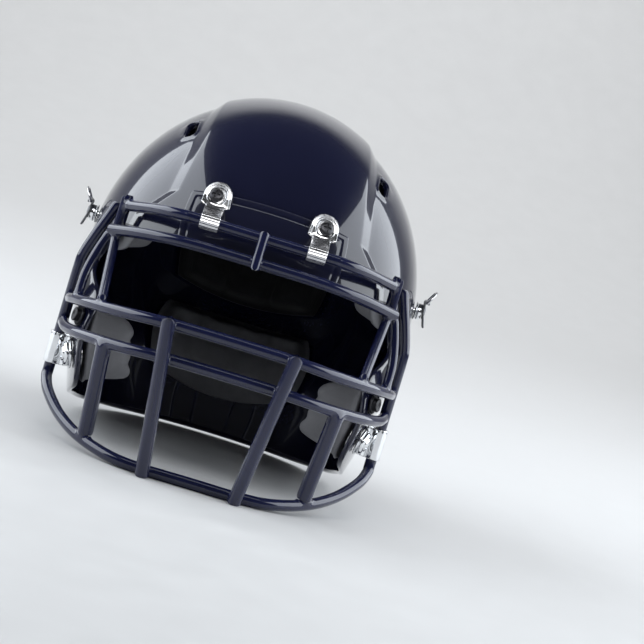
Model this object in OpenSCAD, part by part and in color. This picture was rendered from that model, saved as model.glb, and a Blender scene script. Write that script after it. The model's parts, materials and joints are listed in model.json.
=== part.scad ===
// American football helmet with a facemask that swings up, button-released side clips,
// chin-strap buckles and a padded liner.  Millimetres, +Z up, the face looks along -Y.
// The origin is under the middle of the helmet, on the surface that it rests on.

/* [Shell] */
// Half of the width over the ears
half_width = 120; // [116:0.5:124]
// Height of the widest level of the dome above the surface it rests on
dome_z = 130; // [127:0.5:133]
// Dome radius from the widest level up to the crown, without the raised panel
dome_up = 130; // [126:0.5:134]
// Dome radius towards the brow and towards the back, without the raised panel
dome_out = 133; // [130:0.5:136]
// Wall thickness of the shell
wall = 4; // [3:0.25:5]
// Height of the raised centre panel above the dome
panel_rise = 4; // [2:0.25:5]
// Half width of the bevel along the panel's edges
bevel_half = 3.5; // [2.5:0.25:4.5]
// Radius of the ear holes
ear_hole_r = 19; // [15:0.5:21]

/* [Facemask] */
// Radius of the main bars
bar_r = 3.9; // [3.3:0.1:4.2]
// Radius of the two upright bars in front of the mouth
mouth_upright_r = 4.8; // [4:0.1:5]
// Radius of the two upright bars at the sides of the chin
chin_upright_r = 5.3; // [4:0.1:5.5]
// Radius of the bars in the side windows
strut_r = 3.2; // [2.5:0.1:3.4]
// Half the spacing of the two top clips
top_clip_x = 37.5; // [34:0.5:40]

/* [Padding] */
// Thickness of the liner pads
pad_t = 22; // [16:1:26]
// Thickness of the jaw pads
jaw_pad_t = 34; // [26:1:36]
// Gap between the shell and the liner pads
pad_gap = 3.5; // [3:0.5:5]

/* [Hidden] */

round_fn = 48;        // facets drawn on round parts
bar_sides = 10;       // sides of a bent bar
clear = 0.3;          // gap between separate pieces
fit = 0.05;           // radial gap of a turning or sliding fit
weld_gap = 0.15;      // gap left where bars are welded side by side
end_gap = 0.6;        // gap left where one bar carries on from another

// --- Shape of the dome -------------------------------------------------------------------
// A point of the dome is named by its side fraction f, from -1 at the left ear over 0 in the
// middle to 1 at the right ear, and its lap angle a: 0 looks forward, 90 is the crown, 180
// the back and 270 straight down.

dome_y = 27;                   // fore-and-aft place of the dome's centre
jaw_reach = 92;                // extra reach of the outline over the jaw flaps
jaw_from = 0;                  // lap angles below the front horizon where the reach grows
jaw_full = 34;
jaw_fade = 95;                 // and where it fades out again towards the nape
jaw_end = 150;
front_squareness = 0.25;       // added to the exponent 2 of the plan outline
panel_edge = [[0, 91], [8, 90], [18, 86], [27, 68], [46, 63], [90, 56], [130, 50], [170, 43],
              [200, 40], [330, 88], [360, 91]];   // lap angle, half width of the raised panel

function ease(from, to, v) =
    let (t = max(0, min(1, (v - from) / (to - from)))) t * t * t * (t * (6 * t - 15) + 10);
function unit(v) = v / norm(v);
function below(a) = a > 180 ? 360 - a : 0;
function outline_r(a) =
    1 / sqrt(pow(cos(a) / dome_out, 2) + pow(sin(a) / dome_up, 2))
    + jaw_reach * ease(jaw_from, jaw_full, below(a)) * (1 - ease(jaw_fade, jaw_end, below(a)));
function side_power(a) = 2 + front_squareness * pow(cos(a), 2);
function spread(f, a) = pow(max(0, 1 - pow(abs(f), side_power(a))), 1 / side_power(a));
function panel_half(a) = lookup(a, panel_edge);
function rise(f, a) =
    panel_rise * (1 - ease(165, 200, a) + ease(310, 335, a))
    * (1 - ease(-bevel_half, bevel_half, abs(f) * half_width - panel_half(a)));
// Point of the dome at depth d under its outer face
function skin(f, a, d = 0) =
    let (r = (outline_r(a) - d) * spread(f, a) + rise(f, a))
    [f * (half_width - d), dome_y - r * cos(a), dome_z + r * sin(a)];
function skin_normal(f, a) =
    unit(cross(skin(f, a + 1) - skin(f, a - 1), skin(f - 0.01, a) - skin(f + 0.01, a)));
// Side distance of the dome at a place of its side view, at depth d
function side_x(y, z, d = 0) =
    let (a0 = atan2(z - dome_z, dome_y - y), a = a0 < 0 ? a0 + 360 : a0,
         k = norm([z - dome_z, dome_y - y]) / (outline_r(a) - d))
    (half_width - d) * pow(max(0, 1 - pow(k, side_power(a))), 1 / side_power(a));
function side_point(y, z, d = 0) = [side_x(y, z, d), y, z];
function side_normal(y, z) =
    unit(cross(side_point(y + 1, z) - side_point(y - 1, z),
               side_point(y, z + 1) - side_point(y, z - 1)));

// --- Helpers -----------------------------------------------------------------------------

// Smooth curve through the points p, with n steps between neighbours
function blend4(a, b, c, d, t) =
    0.5 * (2 * b + (c - a) * t + (2 * a - 5 * b + 4 * c - d) * t * t
           + (3 * b - a - 3 * c + d) * t * t * t);
function smooth_path(p, n) =
    let (m = len(p) - 1)
    concat([for (i = [0 : m - 1], k = [0 : n - 1])
                blend4(i > 0 ? p[i - 1] : 2 * p[0] - p[1], p[i], p[i + 1],
                       i + 2 <= m ? p[i + 2] : 2 * p[m] - p[m - 1], k / n)], [p[m]]);
function quad(a, b, c, d) = [[a, b, c], [a, c, d]];
function flat(list) = [for (part = list, item = part) item];

// Closed solid between two grids of the same size; rows run to the right, columns run up
module slab(outer, inner) {
    m = len(outer);
    n = len(outer[0]);
    function o(k, i) = k * n + i;
    function b(k, i) = m * n + k * n + i;
    polyhedron(points = concat(flat(outer), flat(inner)), faces = flat(concat(
        [for (k = [0 : m - 2], i = [0 : n - 2]) quad(o(k, i), o(k, i + 1), o(k + 1, i + 1), o(k + 1, i))],
        [for (k = [0 : m - 2], i = [0 : n - 2]) quad(b(k, i), b(k + 1, i), b(k + 1, i + 1), b(k, i + 1))],
        [for (i = [0 : n - 2]) quad(o(0, i + 1), o(0, i), b(0, i), b(0, i + 1))],
        [for (i = [0 : n - 2]) quad(o(m - 1, i), o(m - 1, i + 1), b(m - 1, i + 1), b(m - 1, i))],
        [for (k = [0 : m - 2]) quad(o(k, 0), o(k + 1, 0), b(k + 1, 0), b(k, 0))],
        [for (k = [0 : m - 2]) quad(o(k + 1, n - 1), o(k, n - 1), b(k, n - 1), b(k + 1, n - 1))])));
}

// Bar of radius r along a path; hint is a direction that the path never follows
module bent_bar(path, r, hint) {
    n = len(path);
    rings = [for (i = [0 : n - 1])
        let (t = unit(path[min(i + 1, n - 1)] - path[max(i - 1, 0)]),
             u = unit(cross(t, hint)), v = cross(t, u))
        [for (j = [0 : bar_sides - 1])
            path[i] + r * (cos(360 * j / bar_sides) * u + sin(360 * j / bar_sides) * v)]];
    function at(i, j) = i * bar_sides + (j % bar_sides);
    polyhedron(points = flat(rings), faces = concat(
        flat([for (i = [0 : n - 2], j = [0 : bar_sides - 1])
            quad(at(i, j), at(i + 1, j), at(i + 1, j + 1), at(i, j + 1))]),
        [[for (j = [0 : bar_sides - 1]) j]],
        [[for (j = [bar_sides - 1 : -1 : 0]) at(n - 1, j)]]));
}

// Straight bar between two points
module straight_bar(from, to, r) {
    d = to - from;
    translate(from) rotate([0, acos(d[2] / norm(d)), atan2(d[1], d[0])])
        cylinder(h = norm(d), r = r, $fn = round_fn);
}

// Places its children at a point with their Z along the outward direction
module facing(point, outward, up = [0, 0, 1]) {
    right = unit(cross(up, outward));
    top = cross(outward, right);
    multmatrix([[right[0], top[0], outward[0], point[0]], [right[1], top[1], outward[1], point[1]],
                [right[2], top[2], outward[2], point[2]], [0, 0, 0, 1]]) children();
}

module left() { mirror([1, 0, 0]) children(); }
module both() { children(); mirror([1, 0, 0]) children(); }

// --- Shell -------------------------------------------------------------------------------

lap_steps = 80;        // steps around the dome
flat_steps = 3;        // steps across half of the raised panel
side_steps = 8;        // steps from the panel's edge to the ear

// Side fractions of the grid at one lap angle, from the middle to just short of the ear
function fractions(a) =
    let (w = panel_half(a), inner = (w - bevel_half) / half_width,
         outer = asin((w + bevel_half) / half_width))
    concat([for (k = [0 : flat_steps]) inner * k / flat_steps],
           [for (k = [0 : side_steps - 1]) sin(outer + (90 - outer) * k / side_steps)]);
function mirrored(list) =
    concat([for (k = [len(list) - 1 : -1 : 1]) -list[k]], list);

module dome_solid(depth) {
    rows = 2 * (flat_steps + side_steps) + 1;
    grid = [for (i = [0 : lap_steps - 1])
        let (a = 360 * i / lap_steps) [for (f = mirrored(fractions(a))) skin(f, a, depth)]];
    ear = half_width - depth;
    function at(k, i) = (i % lap_steps) * rows + k;
    last = lap_steps * rows;
    polyhedron(
        points = concat(flat(grid), [[-ear, dome_y, dome_z], [ear, dome_y, dome_z]]),
        faces = concat(
            flat([for (k = [0 : rows - 2], i = [0 : lap_steps - 1])
                quad(at(k, i), at(k, i + 1), at(k + 1, i + 1), at(k + 1, i))]),
            [for (i = [0 : lap_steps - 1]) [last, at(0, i + 1), at(0, i)]],
            [for (i = [0 : lap_steps - 1]) [at(rows - 1, i), at(rows - 1, i + 1), last + 1]]));
}

// Edge of the face opening and of the neck in side view, from the brow to the nape
brow_z = 150;
shell_edge = [[-140, brow_z], [-60, 149], [-54, 141], [-47, 129], [-44, 121], [-48, 114],
    [-60, 108], [-76, 101], [-87, 92], [-91, 79], [-90, 60], [-85, 42], [-75, 33], [-58, 28],
    [-20, 20], [20, 14], [60, 7], [92, 2.6], [118, 0.6], [180, 0.4]];
edge_steps = 4;

module face_and_neck_cut() {
    rotate([90, 0, 90]) linear_extrude(height = 3 * half_width, center = true)
        polygon(concat(smooth_path(shell_edge, edge_steps), [[180, -260], [-300, -260], [-300, brow_z]]));
}

ear_y = 2;             // centre of the ear holes
ear_z = 88;
vent_lap = 62;         // lap angle of the front vents
vent_f = 0.585;        // side fraction of the front vents
rear_vent_laps = [118, 152];
vent_r = 4;            // half width of a vent slot
vent_len = 15;         // spacing of its round ends

module vent(f, a) {
    facing(skin(f, a), skin_normal(f, a), skin(f, a + 1) - skin(f, a - 1))
        for (end = [0.5, -0.5]) translate([0, end * vent_len, -12])
            cylinder(h = 24, r = vent_r, $fn = 20);
    facing(skin(f, a), skin_normal(f, a), skin(f, a + 1) - skin(f, a - 1))
        cube([2 * vent_r, vent_len, 24], center = true);
}

module through(point, outward, r) {
    facing(point, outward) translate([0, 0, -12]) cylinder(h = 24, r = r, $fn = 24);
}

module shell() {
    color([0.08, 0.09, 0.2])
    resize([0, 0, 0]) difference() {
        dome_solid(0);
        dome_solid(wall);
        face_and_neck_cut();
        both() translate([60, ear_y, ear_z]) rotate([0, 90, 0])
            cylinder(h = half_width, r = ear_hole_r, $fn = round_fn);
        both() vent(vent_f, vent_lap);
        both() for (a = rear_vent_laps) vent(0.3, a);
        both() through(clip_point, clip_out, nut_barrel_r + 0.4);
        both() through(side_clip_point, side_clip_out, nut_barrel_r + 0.4);
        both() through(stud_point, [1, 0, 0], stud_shank_r + clear);
        both() through(lower_stud_point, lower_stud_out, stud_shank_r + clear);
        for (a = valve_laps) through(skin(0, a), skin_normal(0, a), valve_r + clear);
    }
}

// Patch of padding or plate that follows the dome.  f_range and laps are its spans of side
// fraction and lap angle, from_d to to_d its depths, and rounding 0 keeps square corners.
module dome_patch(f_range, laps, from_d, to_d, rounding, m = 8, n = 8) {
    f_mid = (f_range[0] + f_range[1]) / 2;
    f_half = (f_range[1] - f_range[0]) / 2;
    a_mid = (laps[0] + laps[1]) / 2;
    a_half = (laps[1] - laps[0]) / 2;
    function wrapped(a) = a < 0 ? a + 360 : a;
    function grid(d, s) = [for (k = [0 : m]) [for (i = [0 : n])
        let (u = 2 * k / m - 1, v = 2 * i / n - 1)
        skin(f_mid + s * f_half * u * sqrt(1 - rounding * v * v / 2),
             wrapped(a_mid + s * a_half * v * sqrt(1 - rounding * u * u / 2)), d)]];
    slab(grid(from_d, 1), grid(to_d, 1));
}

// --- Bumpers -----------------------------------------------------------------------------

bumper_gap = 0.6;
bumper_t = 2.6;
front_bumper_laps = [8.6, 27];
front_bumper_f = 0.47;
rear_bumper_laps = [196, 224];
rear_bumper_f = 0.45;

module front_bumper() {
    color([0.07, 0.08, 0.18])
    resize([0, 0, 0]) difference() {
        dome_patch([-front_bumper_f, front_bumper_f], front_bumper_laps,
                   -bumper_gap - bumper_t, -bumper_gap, 0.12, 16, 8);
        both() through(clip_point, clip_out, clip_screw_r + clear);
    }
}

module rear_bumper() {
    color([0.07, 0.08, 0.18])
        dome_patch([-rear_bumper_f, rear_bumper_f], rear_bumper_laps,
                   -bumper_gap - bumper_t, -bumper_gap, 0.2, 16, 8);
}

// --- Top clips: loops that the brow bar turns in -------------------------------------------

hinge_y = -115;        // axis of the brow bar, along X
hinge_z = 171;
clip_lap = 25.5;       // lap angle of the clip screws
clip_f = top_clip_x / half_width;
clip_stock = 1.5;      // thickness of the clip metal
clip_w = 13.2;         // width of the loop
clip_plate_w = 20;
clip_screw_r = 2.4;
clip_point = skin(clip_f, clip_lap);
clip_out = skin_normal(clip_f, clip_lap);
clip_lift = bumper_gap + bumper_t + 0.7;   // plate's underside above the shell
loop_r = bar_r + fit;

module clip_at_right() {
    difference() {
        union() {
            translate([top_clip_x, hinge_y, hinge_z]) rotate([0, 90, 0])
                cylinder(h = clip_w, r = loop_r + clip_stock, center = true, $fn = round_fn);
            hull() {
                facing(clip_point, clip_out) translate([0, 0, clip_lift])
                    cylinder(h = clip_stock, r = clip_plate_w / 2, $fn = 32);
                facing(clip_point, clip_out) translate([-clip_plate_w / 2, -9, clip_lift])
                    cube([clip_plate_w, 2, clip_stock]);
            }
            hull() {
                facing(clip_point, clip_out) translate([-clip_w / 2, -9, clip_lift])
                    cube([clip_w, 3, clip_stock]);
                translate([top_clip_x - clip_w / 2, hinge_y + 1, hinge_z + loop_r])
                    cube([clip_w, 2, clip_stock]);
            }
        }
        translate([top_clip_x, hinge_y, hinge_z]) rotate([0, 90, 0])
            cylinder(h = 2 * clip_w, r = loop_r, center = true, $fn = round_fn);
        facing(clip_point, clip_out) cylinder(h = 20, r = clip_screw_r + 0.2, $fn = round_fn);
    }
}

module top_clip_right() { color([0.8, 0.8, 0.8]) clip_at_right(); }
module top_clip_left() { color([0.8, 0.8, 0.8]) left() clip_at_right(); }

// Screw along Z with its head's underside at z = lift and its tip at z = tip
module button_screw(shank_r, head_r, head_h, lift, tip) {
    difference() {
        union() {
            translate([0, 0, tip]) cylinder(h = lift - tip, r = shank_r, $fn = round_fn);
            translate([0, 0, lift]) cylinder(h = head_h, r = head_r, $fn = round_fn);
        }
        translate([0, 0, lift + head_h / 2]) cylinder(h = head_h, r = head_r * 0.45, $fn = 6);
    }
}

module top_clip_screws() {
    color([0.25, 0.25, 0.27]) both() facing(clip_point, clip_out)
        button_screw(clip_screw_r, 4.8, 2, clip_lift + clip_stock + 0.1, -wall);
}

nut_barrel_r = 3.4;
nut_flange_r = 8;
nut_flange_t = 1.2;
nut_drop = 1.4;        // gap between the flange and the shell's inner face

module tee_nut(screw_r) {
    difference() {
        union() {
            translate([0, 0, -wall - nut_drop]) cylinder(h = wall, r = nut_barrel_r, $fn = round_fn);
            translate([0, 0, -wall - nut_drop - nut_flange_t])
                cylinder(h = nut_flange_t, r = nut_flange_r, $fn = round_fn);
        }
        translate([0, 0, -wall - 4]) cylinder(h = 2 * wall, r = screw_r + 0.1, $fn = round_fn);
    }
}

module tee_nuts() {
    color([0.75, 0.75, 0.75]) both() {
        facing(clip_point, clip_out) tee_nut(clip_screw_r);
        facing(side_clip_point, side_clip_out) tee_nut(clip_screw_r);
    }
}

// --- Liner -------------------------------------------------------------------------------

pad_d = wall + pad_gap;
liner_color = [0.1, 0.1, 0.11];
grey_pad_color = [0.6, 0.6, 0.62];

module front_pad() {
    color(liner_color) dome_patch([-0.56, 0.56], [11, 44], pad_d, pad_d + pad_t * 0.9, 0.3);
}
module crown_pad() {
    color(liner_color) dome_patch([-0.5, 0.5], [50, 122], pad_d, pad_d + pad_t, 0.3);
}
module back_pad() {
    color(liner_color) dome_patch([-0.56, 0.56], [128, 194], pad_d, pad_d + pad_t, 0.3);
}
module neck_pad() {
    color(grey_pad_color) dome_patch([-0.56, 0.56], [199, 227], pad_d, pad_d + pad_t * 0.7, 0.25);
}
module side_pad() { dome_patch([0.62, 0.9], [42, 165], pad_d, pad_d + pad_t * 0.9, 0.3, 6, 12); }
module side_pad_right() { color(liner_color) side_pad(); }
module side_pad_left() { color(liner_color) left() side_pad(); }

// Pad at the side of the head from its outline in side view: centre, half sizes, depth range
module cheek(centre, half, from_d, thick, shrink, m = 8, n = 8) {
    function place(k, i, s) =
        let (u = 2 * k / m - 1, v = 2 * i / n - 1)
        [centre[0] + s * half[0] * u * sqrt(1 - 0.35 * v * v),
         centre[1] + s * half[1] * v * sqrt(1 - 0.35 * u * u)];
    slab([for (k = [0 : m]) [for (i = [0 : n])
            let (p = place(k, i, 1)) side_point(p[0], p[1], from_d)]],
         [for (k = [0 : m]) [for (i = [0 : n])
            let (p = place(k, i, 1), s = place(k, i, shrink))
            [side_x(p[0], p[1], from_d) - thick, s[0], s[1]]]]);
}

module temple_pad() { cheek([-42, 148], [19, 19], pad_d, 20, 0.85); }
module temple_pad_right() { color(grey_pad_color) temple_pad(); }
module temple_pad_left() { color(grey_pad_color) left() temple_pad(); }

jaw_pad_d = wall + 3.2;
module jaw_pad() { cheek([-58, 66], [26, 31], jaw_pad_d, jaw_pad_t, 0.85); }
module jaw_pad_right() { color(grey_pad_color) jaw_pad(); }
module jaw_pad_left() { color(grey_pad_color) left() jaw_pad(); }

jaw_snap_places = [[-48, 84], [-46, 50]];
module jaw_pad_snaps() {
    color([0.15, 0.15, 0.16]) both() for (p = jaw_snap_places)
        facing(side_point(p[0], p[1]), side_normal(p[0], p[1]))
            translate([0, 0, -wall - 1.9]) cylinder(h = 1.4, r = 5, $fn = round_fn);
}

valve_laps = [108, 172];
valve_r = 3;
module inflation_valves() {
    color([0.12, 0.12, 0.12]) for (a = valve_laps)
        facing(skin(0, a), skin_normal(0, a), [1, 0, 0]) difference() {
            union() {
                translate([0, 0, -wall - 2]) cylinder(h = wall + 3, r = valve_r, $fn = round_fn);
                translate([0, 0, 0.6]) cylinder(h = 1.2, r = 5, $fn = round_fn);
            }
            translate([0, 0, -wall - 1]) cylinder(h = wall + 4, r = 0.9, $fn = round_fn);
        }
}

// --- Chin-strap hardware -------------------------------------------------------------------

stud_y = 12;
stud_z = 146;
stud_point = side_point(stud_y, stud_z);
stud_shank_r = 2;
stud_neck_r = 2.6;
stud_flange_t = 1.2;
stud_lift = 0.7;                                   // flange's underside above the shell
socket_from = stud_lift + stud_flange_t + clear;   // start of the buckle's socket
socket_lip = 1.2;
stud_head_t = 1.4;
head_from = socket_from + socket_lip + clear;
buckle_x = stud_point[0] + head_from + stud_head_t + clear;   // underside of the buckle's plate

module snap_stud(neck_r) {
    translate([0, 0, -wall - 1.2]) cylinder(h = wall + 2.2, r = stud_shank_r, $fn = round_fn);
    translate([0, 0, stud_lift]) cylinder(h = stud_flange_t, r = 6.5, $fn = round_fn);
    translate([0, 0, stud_lift]) cylinder(h = head_from - stud_lift, r = neck_r, $fn = round_fn);
    translate([0, 0, head_from]) cylinder(h = stud_head_t, r = 4, $fn = round_fn);
}

module strap_studs() {
    color([0.8, 0.8, 0.8]) both() facing(stud_point, [1, 0, 0]) snap_stud(stud_neck_r);
}

lower_stud_point = side_point(-80, 82);
lower_stud_out = side_normal(-80, 82);
lower_stud_r = 5;
lower_stud_h = 3.4;

module lower_studs() {
    color([0.12, 0.12, 0.14]) both() facing(lower_stud_point, lower_stud_out) {
        translate([0, 0, -wall]) cylinder(h = wall + 1, r = stud_shank_r, $fn = round_fn);
        translate([0, 0, 0.9]) cylinder(h = 1.4, r = 6.8, $fn = round_fn);
        translate([0, 0, 0.9]) cylinder(h = 1.4 + lower_stud_h, r = lower_stud_r, $fn = round_fn);
    }
}

wire_r = 0.9;
loop_half = 7;         // half width of the wire loop
barrel_r = 2.1;
buckle_t = 2.2;
buckle_up = 7.5;       // height of the loop's pivot above the stud
buckle_tilt = 16;      // lean of the buckle's plate, and of the loop, away from the shell
pivot_x = buckle_x + barrel_r;
loop_lean = 28;

module strap_buckle() {
    difference() {
        union() {
            translate([stud_point[0] + socket_from, stud_y, stud_z]) rotate([0, 90, 0])
                cylinder(h = buckle_x - stud_point[0] - socket_from + buckle_t, r = 5.6, $fn = round_fn);
            translate([buckle_x, stud_y - 6.5, stud_z]) cube([buckle_t, 13, buckle_up]);
            translate([buckle_x, stud_y - 6.5, stud_z + 0.5]) rotate([0, 180 - buckle_tilt, 0])
                translate([-buckle_t, 0, 0]) cube([buckle_t, 13, 12]);
            translate([pivot_x, stud_y, stud_z + buckle_up]) rotate([90, 0, 0])
                cylinder(h = 2 * loop_half - 3, r = barrel_r, center = true, $fn = round_fn);
        }
        translate([stud_point[0] + socket_from - 1, stud_y, stud_z]) rotate([0, 90, 0])
            cylinder(h = socket_lip + 2, r = stud_neck_r + fit, $fn = round_fn);
        translate([stud_point[0] + socket_from + socket_lip, stud_y, stud_z]) rotate([0, 90, 0])
            cylinder(h = stud_head_t + 2 * clear, r = 4 + clear, $fn = round_fn);
        translate([pivot_x, stud_y, stud_z + buckle_up]) rotate([90, 0, 0])
            cylinder(h = 4 * loop_half, r = wire_r + fit, center = true, $fn = round_fn);
    }
}

module strap_buckle_right() { color([0.3, 0.31, 0.33]) strap_buckle(); }
module strap_buckle_left() { color([0.3, 0.31, 0.33]) left() strap_buckle(); }

module buckle_loop() {
    translate([pivot_x, stud_y, stud_z + buckle_up]) rotate([0, loop_lean, 0]) {
        rotate([90, 0, 0]) cylinder(h = 2 * loop_half, r = wire_r, center = true, $fn = 24);
        for (s = [-1, 1]) translate([0, s * loop_half, 0]) {
            sphere(r = wire_r, $fn = 24);
            cylinder(h = 3, r = wire_r, $fn = 24);
        }
        translate([0, 0, 3]) rotate([90, 0, 90]) rotate_extrude(angle = 180, $fn = 36)
            translate([loop_half, 0]) circle(r = wire_r, $fn = 24);
    }
}

module buckle_loop_right() { color([0.7, 0.7, 0.72]) buckle_loop(); }
module buckle_loop_left() { color([0.7, 0.7, 0.72]) left() buckle_loop(); }

// --- Facemask bars -------------------------------------------------------------------------

mask_color = [0.1, 0.11, 0.24];
path_steps = 4;
brow_bar_half = 48;    // half length of the straight stretch that the clips hold
corner_x = 97;         // place of the short uprights at the brow's corners
corner_y = -71;
loop_x = 116.5;        // place of the upright stretch of the side bars
loop_y = -60;
front_y = -164.7;      // foremost place of the mask
mouth_upright_top = [43.5, front_y + mouth_upright_r, 104];
mouth_upright_foot = [31.5, front_y + mouth_upright_r + 3.4, 1.6];
nose_y = mouth_upright_top[1] + mouth_upright_r + bar_r + weld_gap;
mouth_y = nose_y + 1.1;

// Both halves of a bar that is the same left and right
function whole(p) = concat([for (k = [len(p) - 1 : -1 : 1]) [-p[k][0], p[k][1], p[k][2]]], p);

module brow_bar() {
    color(mask_color) translate([0, hinge_y, hinge_z]) rotate([0, 90, 0])
        cylinder(h = 2 * brow_bar_half, r = bar_r, center = true, $fn = round_fn);
}

module brow_wing() {
    bent_bar(smooth_path([[brow_bar_half + end_gap, hinge_y, hinge_z], [52, hinge_y, hinge_z],
        [64, -110, 170], [76, -98, 168], [corner_x - 4, corner_y - 5, 164]], path_steps),
        bar_r, [0, 0, 1]);
}
module brow_wing_right() { color(mask_color) brow_wing(); }
module brow_wing_left() { color(mask_color) left() brow_wing(); }

module eye_bar() {
    color(mask_color) bent_bar(smooth_path(whole([[0, -120.5, 154.5], [46, -119, 154],
        [76, -104.5, 150.5], [101, -80.5, 145]]), path_steps), bar_r, [0, 0, 1]);
}

spar_r = 3.3;
module centre_spar() {
    color(mask_color) straight_bar(
        [0, -120.5 - bar_r - spar_r - 6 * weld_gap, 151.5],
        [0, hinge_y - bar_r - spar_r - weld_gap - 1.4, 175], spar_r);
}

upright_r = 4;
module brow_upright() { straight_bar([corner_x + 0.6, corner_y, 141], [corner_x, corner_y, 168], upright_r); }
module brow_upright_right() { color(mask_color) brow_upright(); }
module brow_upright_left() { color(mask_color) left() brow_upright(); }

// Side bar, from the brow's corner out and down to the end of the chin bar
module side_bar() {
    bent_bar(smooth_path([[103, -63, 161], [106, -62.5, 152], [111, -61.5, 138], [115.5, -60.2, 123],
        [loop_x, loop_y, 112], [loop_x, loop_y, 70], [loop_x, loop_y, 40]], path_steps),
        bar_r, [0, 1, 0]);
}
module side_bar_right() { color(mask_color) side_bar(); }
module side_bar_left() { color(mask_color) left() side_bar(); }

module window_bar() {
    bent_bar(smooth_path([[102.5, -73.5, 140.4], [106.5, -76, 127], [109.5, -80, 112], [109.8, -85, 97.6]],
        path_steps), strut_r, [0, 1, 0]);
}
module window_bar_right() { color(mask_color) window_bar(); }
module window_bar_left() { color(mask_color) left() window_bar(); }

module window_strut() { straight_bar([96.4, -84.2, 139], [91.6, -117.6, 102.6], strut_r); }
module window_strut_right() { color(mask_color) window_strut(); }
module window_strut_left() { color(mask_color) left() window_strut(); }

module nose_bar() {
    color(mask_color) bent_bar(smooth_path(whole([[0, nose_y - 1.5, 102.6], [43.5, nose_y, 102],
        [74, -137, 99], [98, -110, 95.5], [111, -83, 92.5], [115.2, loop_y - 8.4, 90.5]]), path_steps),
        bar_r, [0, 0, 1]);
}

module mouth_bar() {
    color(mask_color) bent_bar(smooth_path(whole([[0, mouth_y - 1.5, 79.6], [43.5, mouth_y, 79],
        [74, -136, 76.2], [98, -109, 73.6], [111, -83, 72.2], [115.2, loop_y - 8.4, 73.5]]), path_steps),
        bar_r, [0, 0, 1]);
}

module mouth_upright() { straight_bar(mouth_upright_foot, mouth_upright_top, mouth_upright_r); }
module mouth_upright_right() { color(mask_color) mouth_upright(); }
module mouth_upright_left() { color(mask_color) left() mouth_upright(); }

module chin_upright() { straight_bar([76.5, -124, 14.4], [80.6, -130.2, 71], chin_upright_r); }
module chin_upright_right() { color(mask_color) chin_upright(); }
module chin_upright_left() { color(mask_color) left() chin_upright(); }

chin_y = mouth_upright_foot[1] + mouth_upright_r + bar_r + weld_gap;
module chin_bar() {
    color(mask_color) bent_bar(smooth_path(whole([[0, chin_y, bar_r], [33, chin_y, bar_r],
        [56, chin_y + 7, 4.8], [80, -121, 8.6], [98, -98, 15.5], [111, -77, 25.5], [116, -63.5, 33],
        [loop_x, loop_y, 37], [loop_x, loop_y, 39.6 - end_gap]]), path_steps), bar_r, [0, 0.3, 1]);
}

// --- Side clips: loops round the side bars, fastened to the jaw flaps -------------------------

side_clip_point = side_point(-70, 54);
side_clip_out = side_normal(-70, 54);
side_clip_z = [43, 65];
side_plate_r = 10;
side_lift = 1;         // plate's underside above the shell
bush_r = 7.6;
button_r = 5.4;
button_travel = 1.5;

module side_clip() {
    difference() {
        union() {
            translate([loop_x, loop_y, side_clip_z[0]])
                cylinder(h = side_clip_z[1] - side_clip_z[0], r = bar_r + 0.1 + clip_stock, $fn = round_fn);
            hull() {
                facing(side_clip_point, side_clip_out) translate([0, 0, side_lift])
                    cylinder(h = clip_stock, r = side_plate_r, $fn = 32);
                translate([loop_x - 1, loop_y - bar_r - 1.6, side_clip_z[0]])
                    cube([1.5, 1.5, side_clip_z[1] - side_clip_z[0]]);
            }
        }
        translate([loop_x, loop_y, side_clip_z[0] - 1]) cylinder(h = 40, r = bar_r + 0.1, $fn = round_fn);
        facing(side_clip_point, side_clip_out) cylinder(h = 30, r = bush_r + 0.1, $fn = round_fn);
    }
}
module side_clip_right() { color([0.85, 0.85, 0.85]) side_clip(); }
module side_clip_left() { color([0.85, 0.85, 0.85]) left() side_clip(); }

// Ring-shaped bush in the clip's plate that guides the release button
bush_h = 5;
module clip_bushes() {
    color([0.85, 0.85, 0.85]) both() facing(side_clip_point, side_clip_out)
        translate([0, 0, side_lift]) difference() {
            cylinder(h = bush_h, r = bush_r, $fn = round_fn);
            translate([0, 0, -1]) cylinder(h = bush_h + 2, r = button_r + fit, $fn = round_fn);
        }
}

module release_button() {
    facing(side_clip_point, side_clip_out) translate([0, 0, side_lift + button_travel]) difference() {
        cylinder(h = bush_h, r = button_r, $fn = round_fn);
        translate([0, 0, bush_h - 0.8]) cylinder(h = 2, r = 1.8, $fn = 6);
    }
}
module release_button_right() { color([0.8, 0.8, 0.8]) release_button(); }
module release_button_left() { color([0.8, 0.8, 0.8]) left() release_button(); }

shell();
front_bumper();
rear_bumper();
top_clip_left();
top_clip_right();
top_clip_screws();
tee_nuts();
front_pad();
crown_pad();
back_pad();
neck_pad();
side_pad_left();
side_pad_right();
temple_pad_left();
temple_pad_right();
jaw_pad_left();
jaw_pad_right();
jaw_pad_snaps();
inflation_valves();
strap_studs();
lower_studs();
strap_buckle_left();
strap_buckle_right();
buckle_loop_left();
buckle_loop_right();
brow_bar();
brow_wing_left();
brow_wing_right();
eye_bar();
centre_spar();
brow_upright_left();
brow_upright_right();
side_bar_left();
side_bar_right();
window_bar_left();
window_bar_right();
window_strut_left();
window_strut_right();
nose_bar();
mouth_bar();
mouth_upright_left();
mouth_upright_right();
chin_upright_left();
chin_upright_right();
chin_bar();
side_clip_left();
side_clip_right();
clip_bushes();
release_button_left();
release_button_right();
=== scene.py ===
"""Looks of an american football helmet: gloss shell, welded facemask, clips, buckles and liner.

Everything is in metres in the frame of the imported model: +Z up, the face looks along -Y, and
+X is to the right of someone who faces the helmet.
"""

import json
import logging
import math
from dataclasses import dataclass, field
from enum import Enum
from typing import Callable, Iterable, Optional, Sequence

import bmesh
import bpy
import numpy as np
from mathutils import Matrix, Vector


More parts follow.
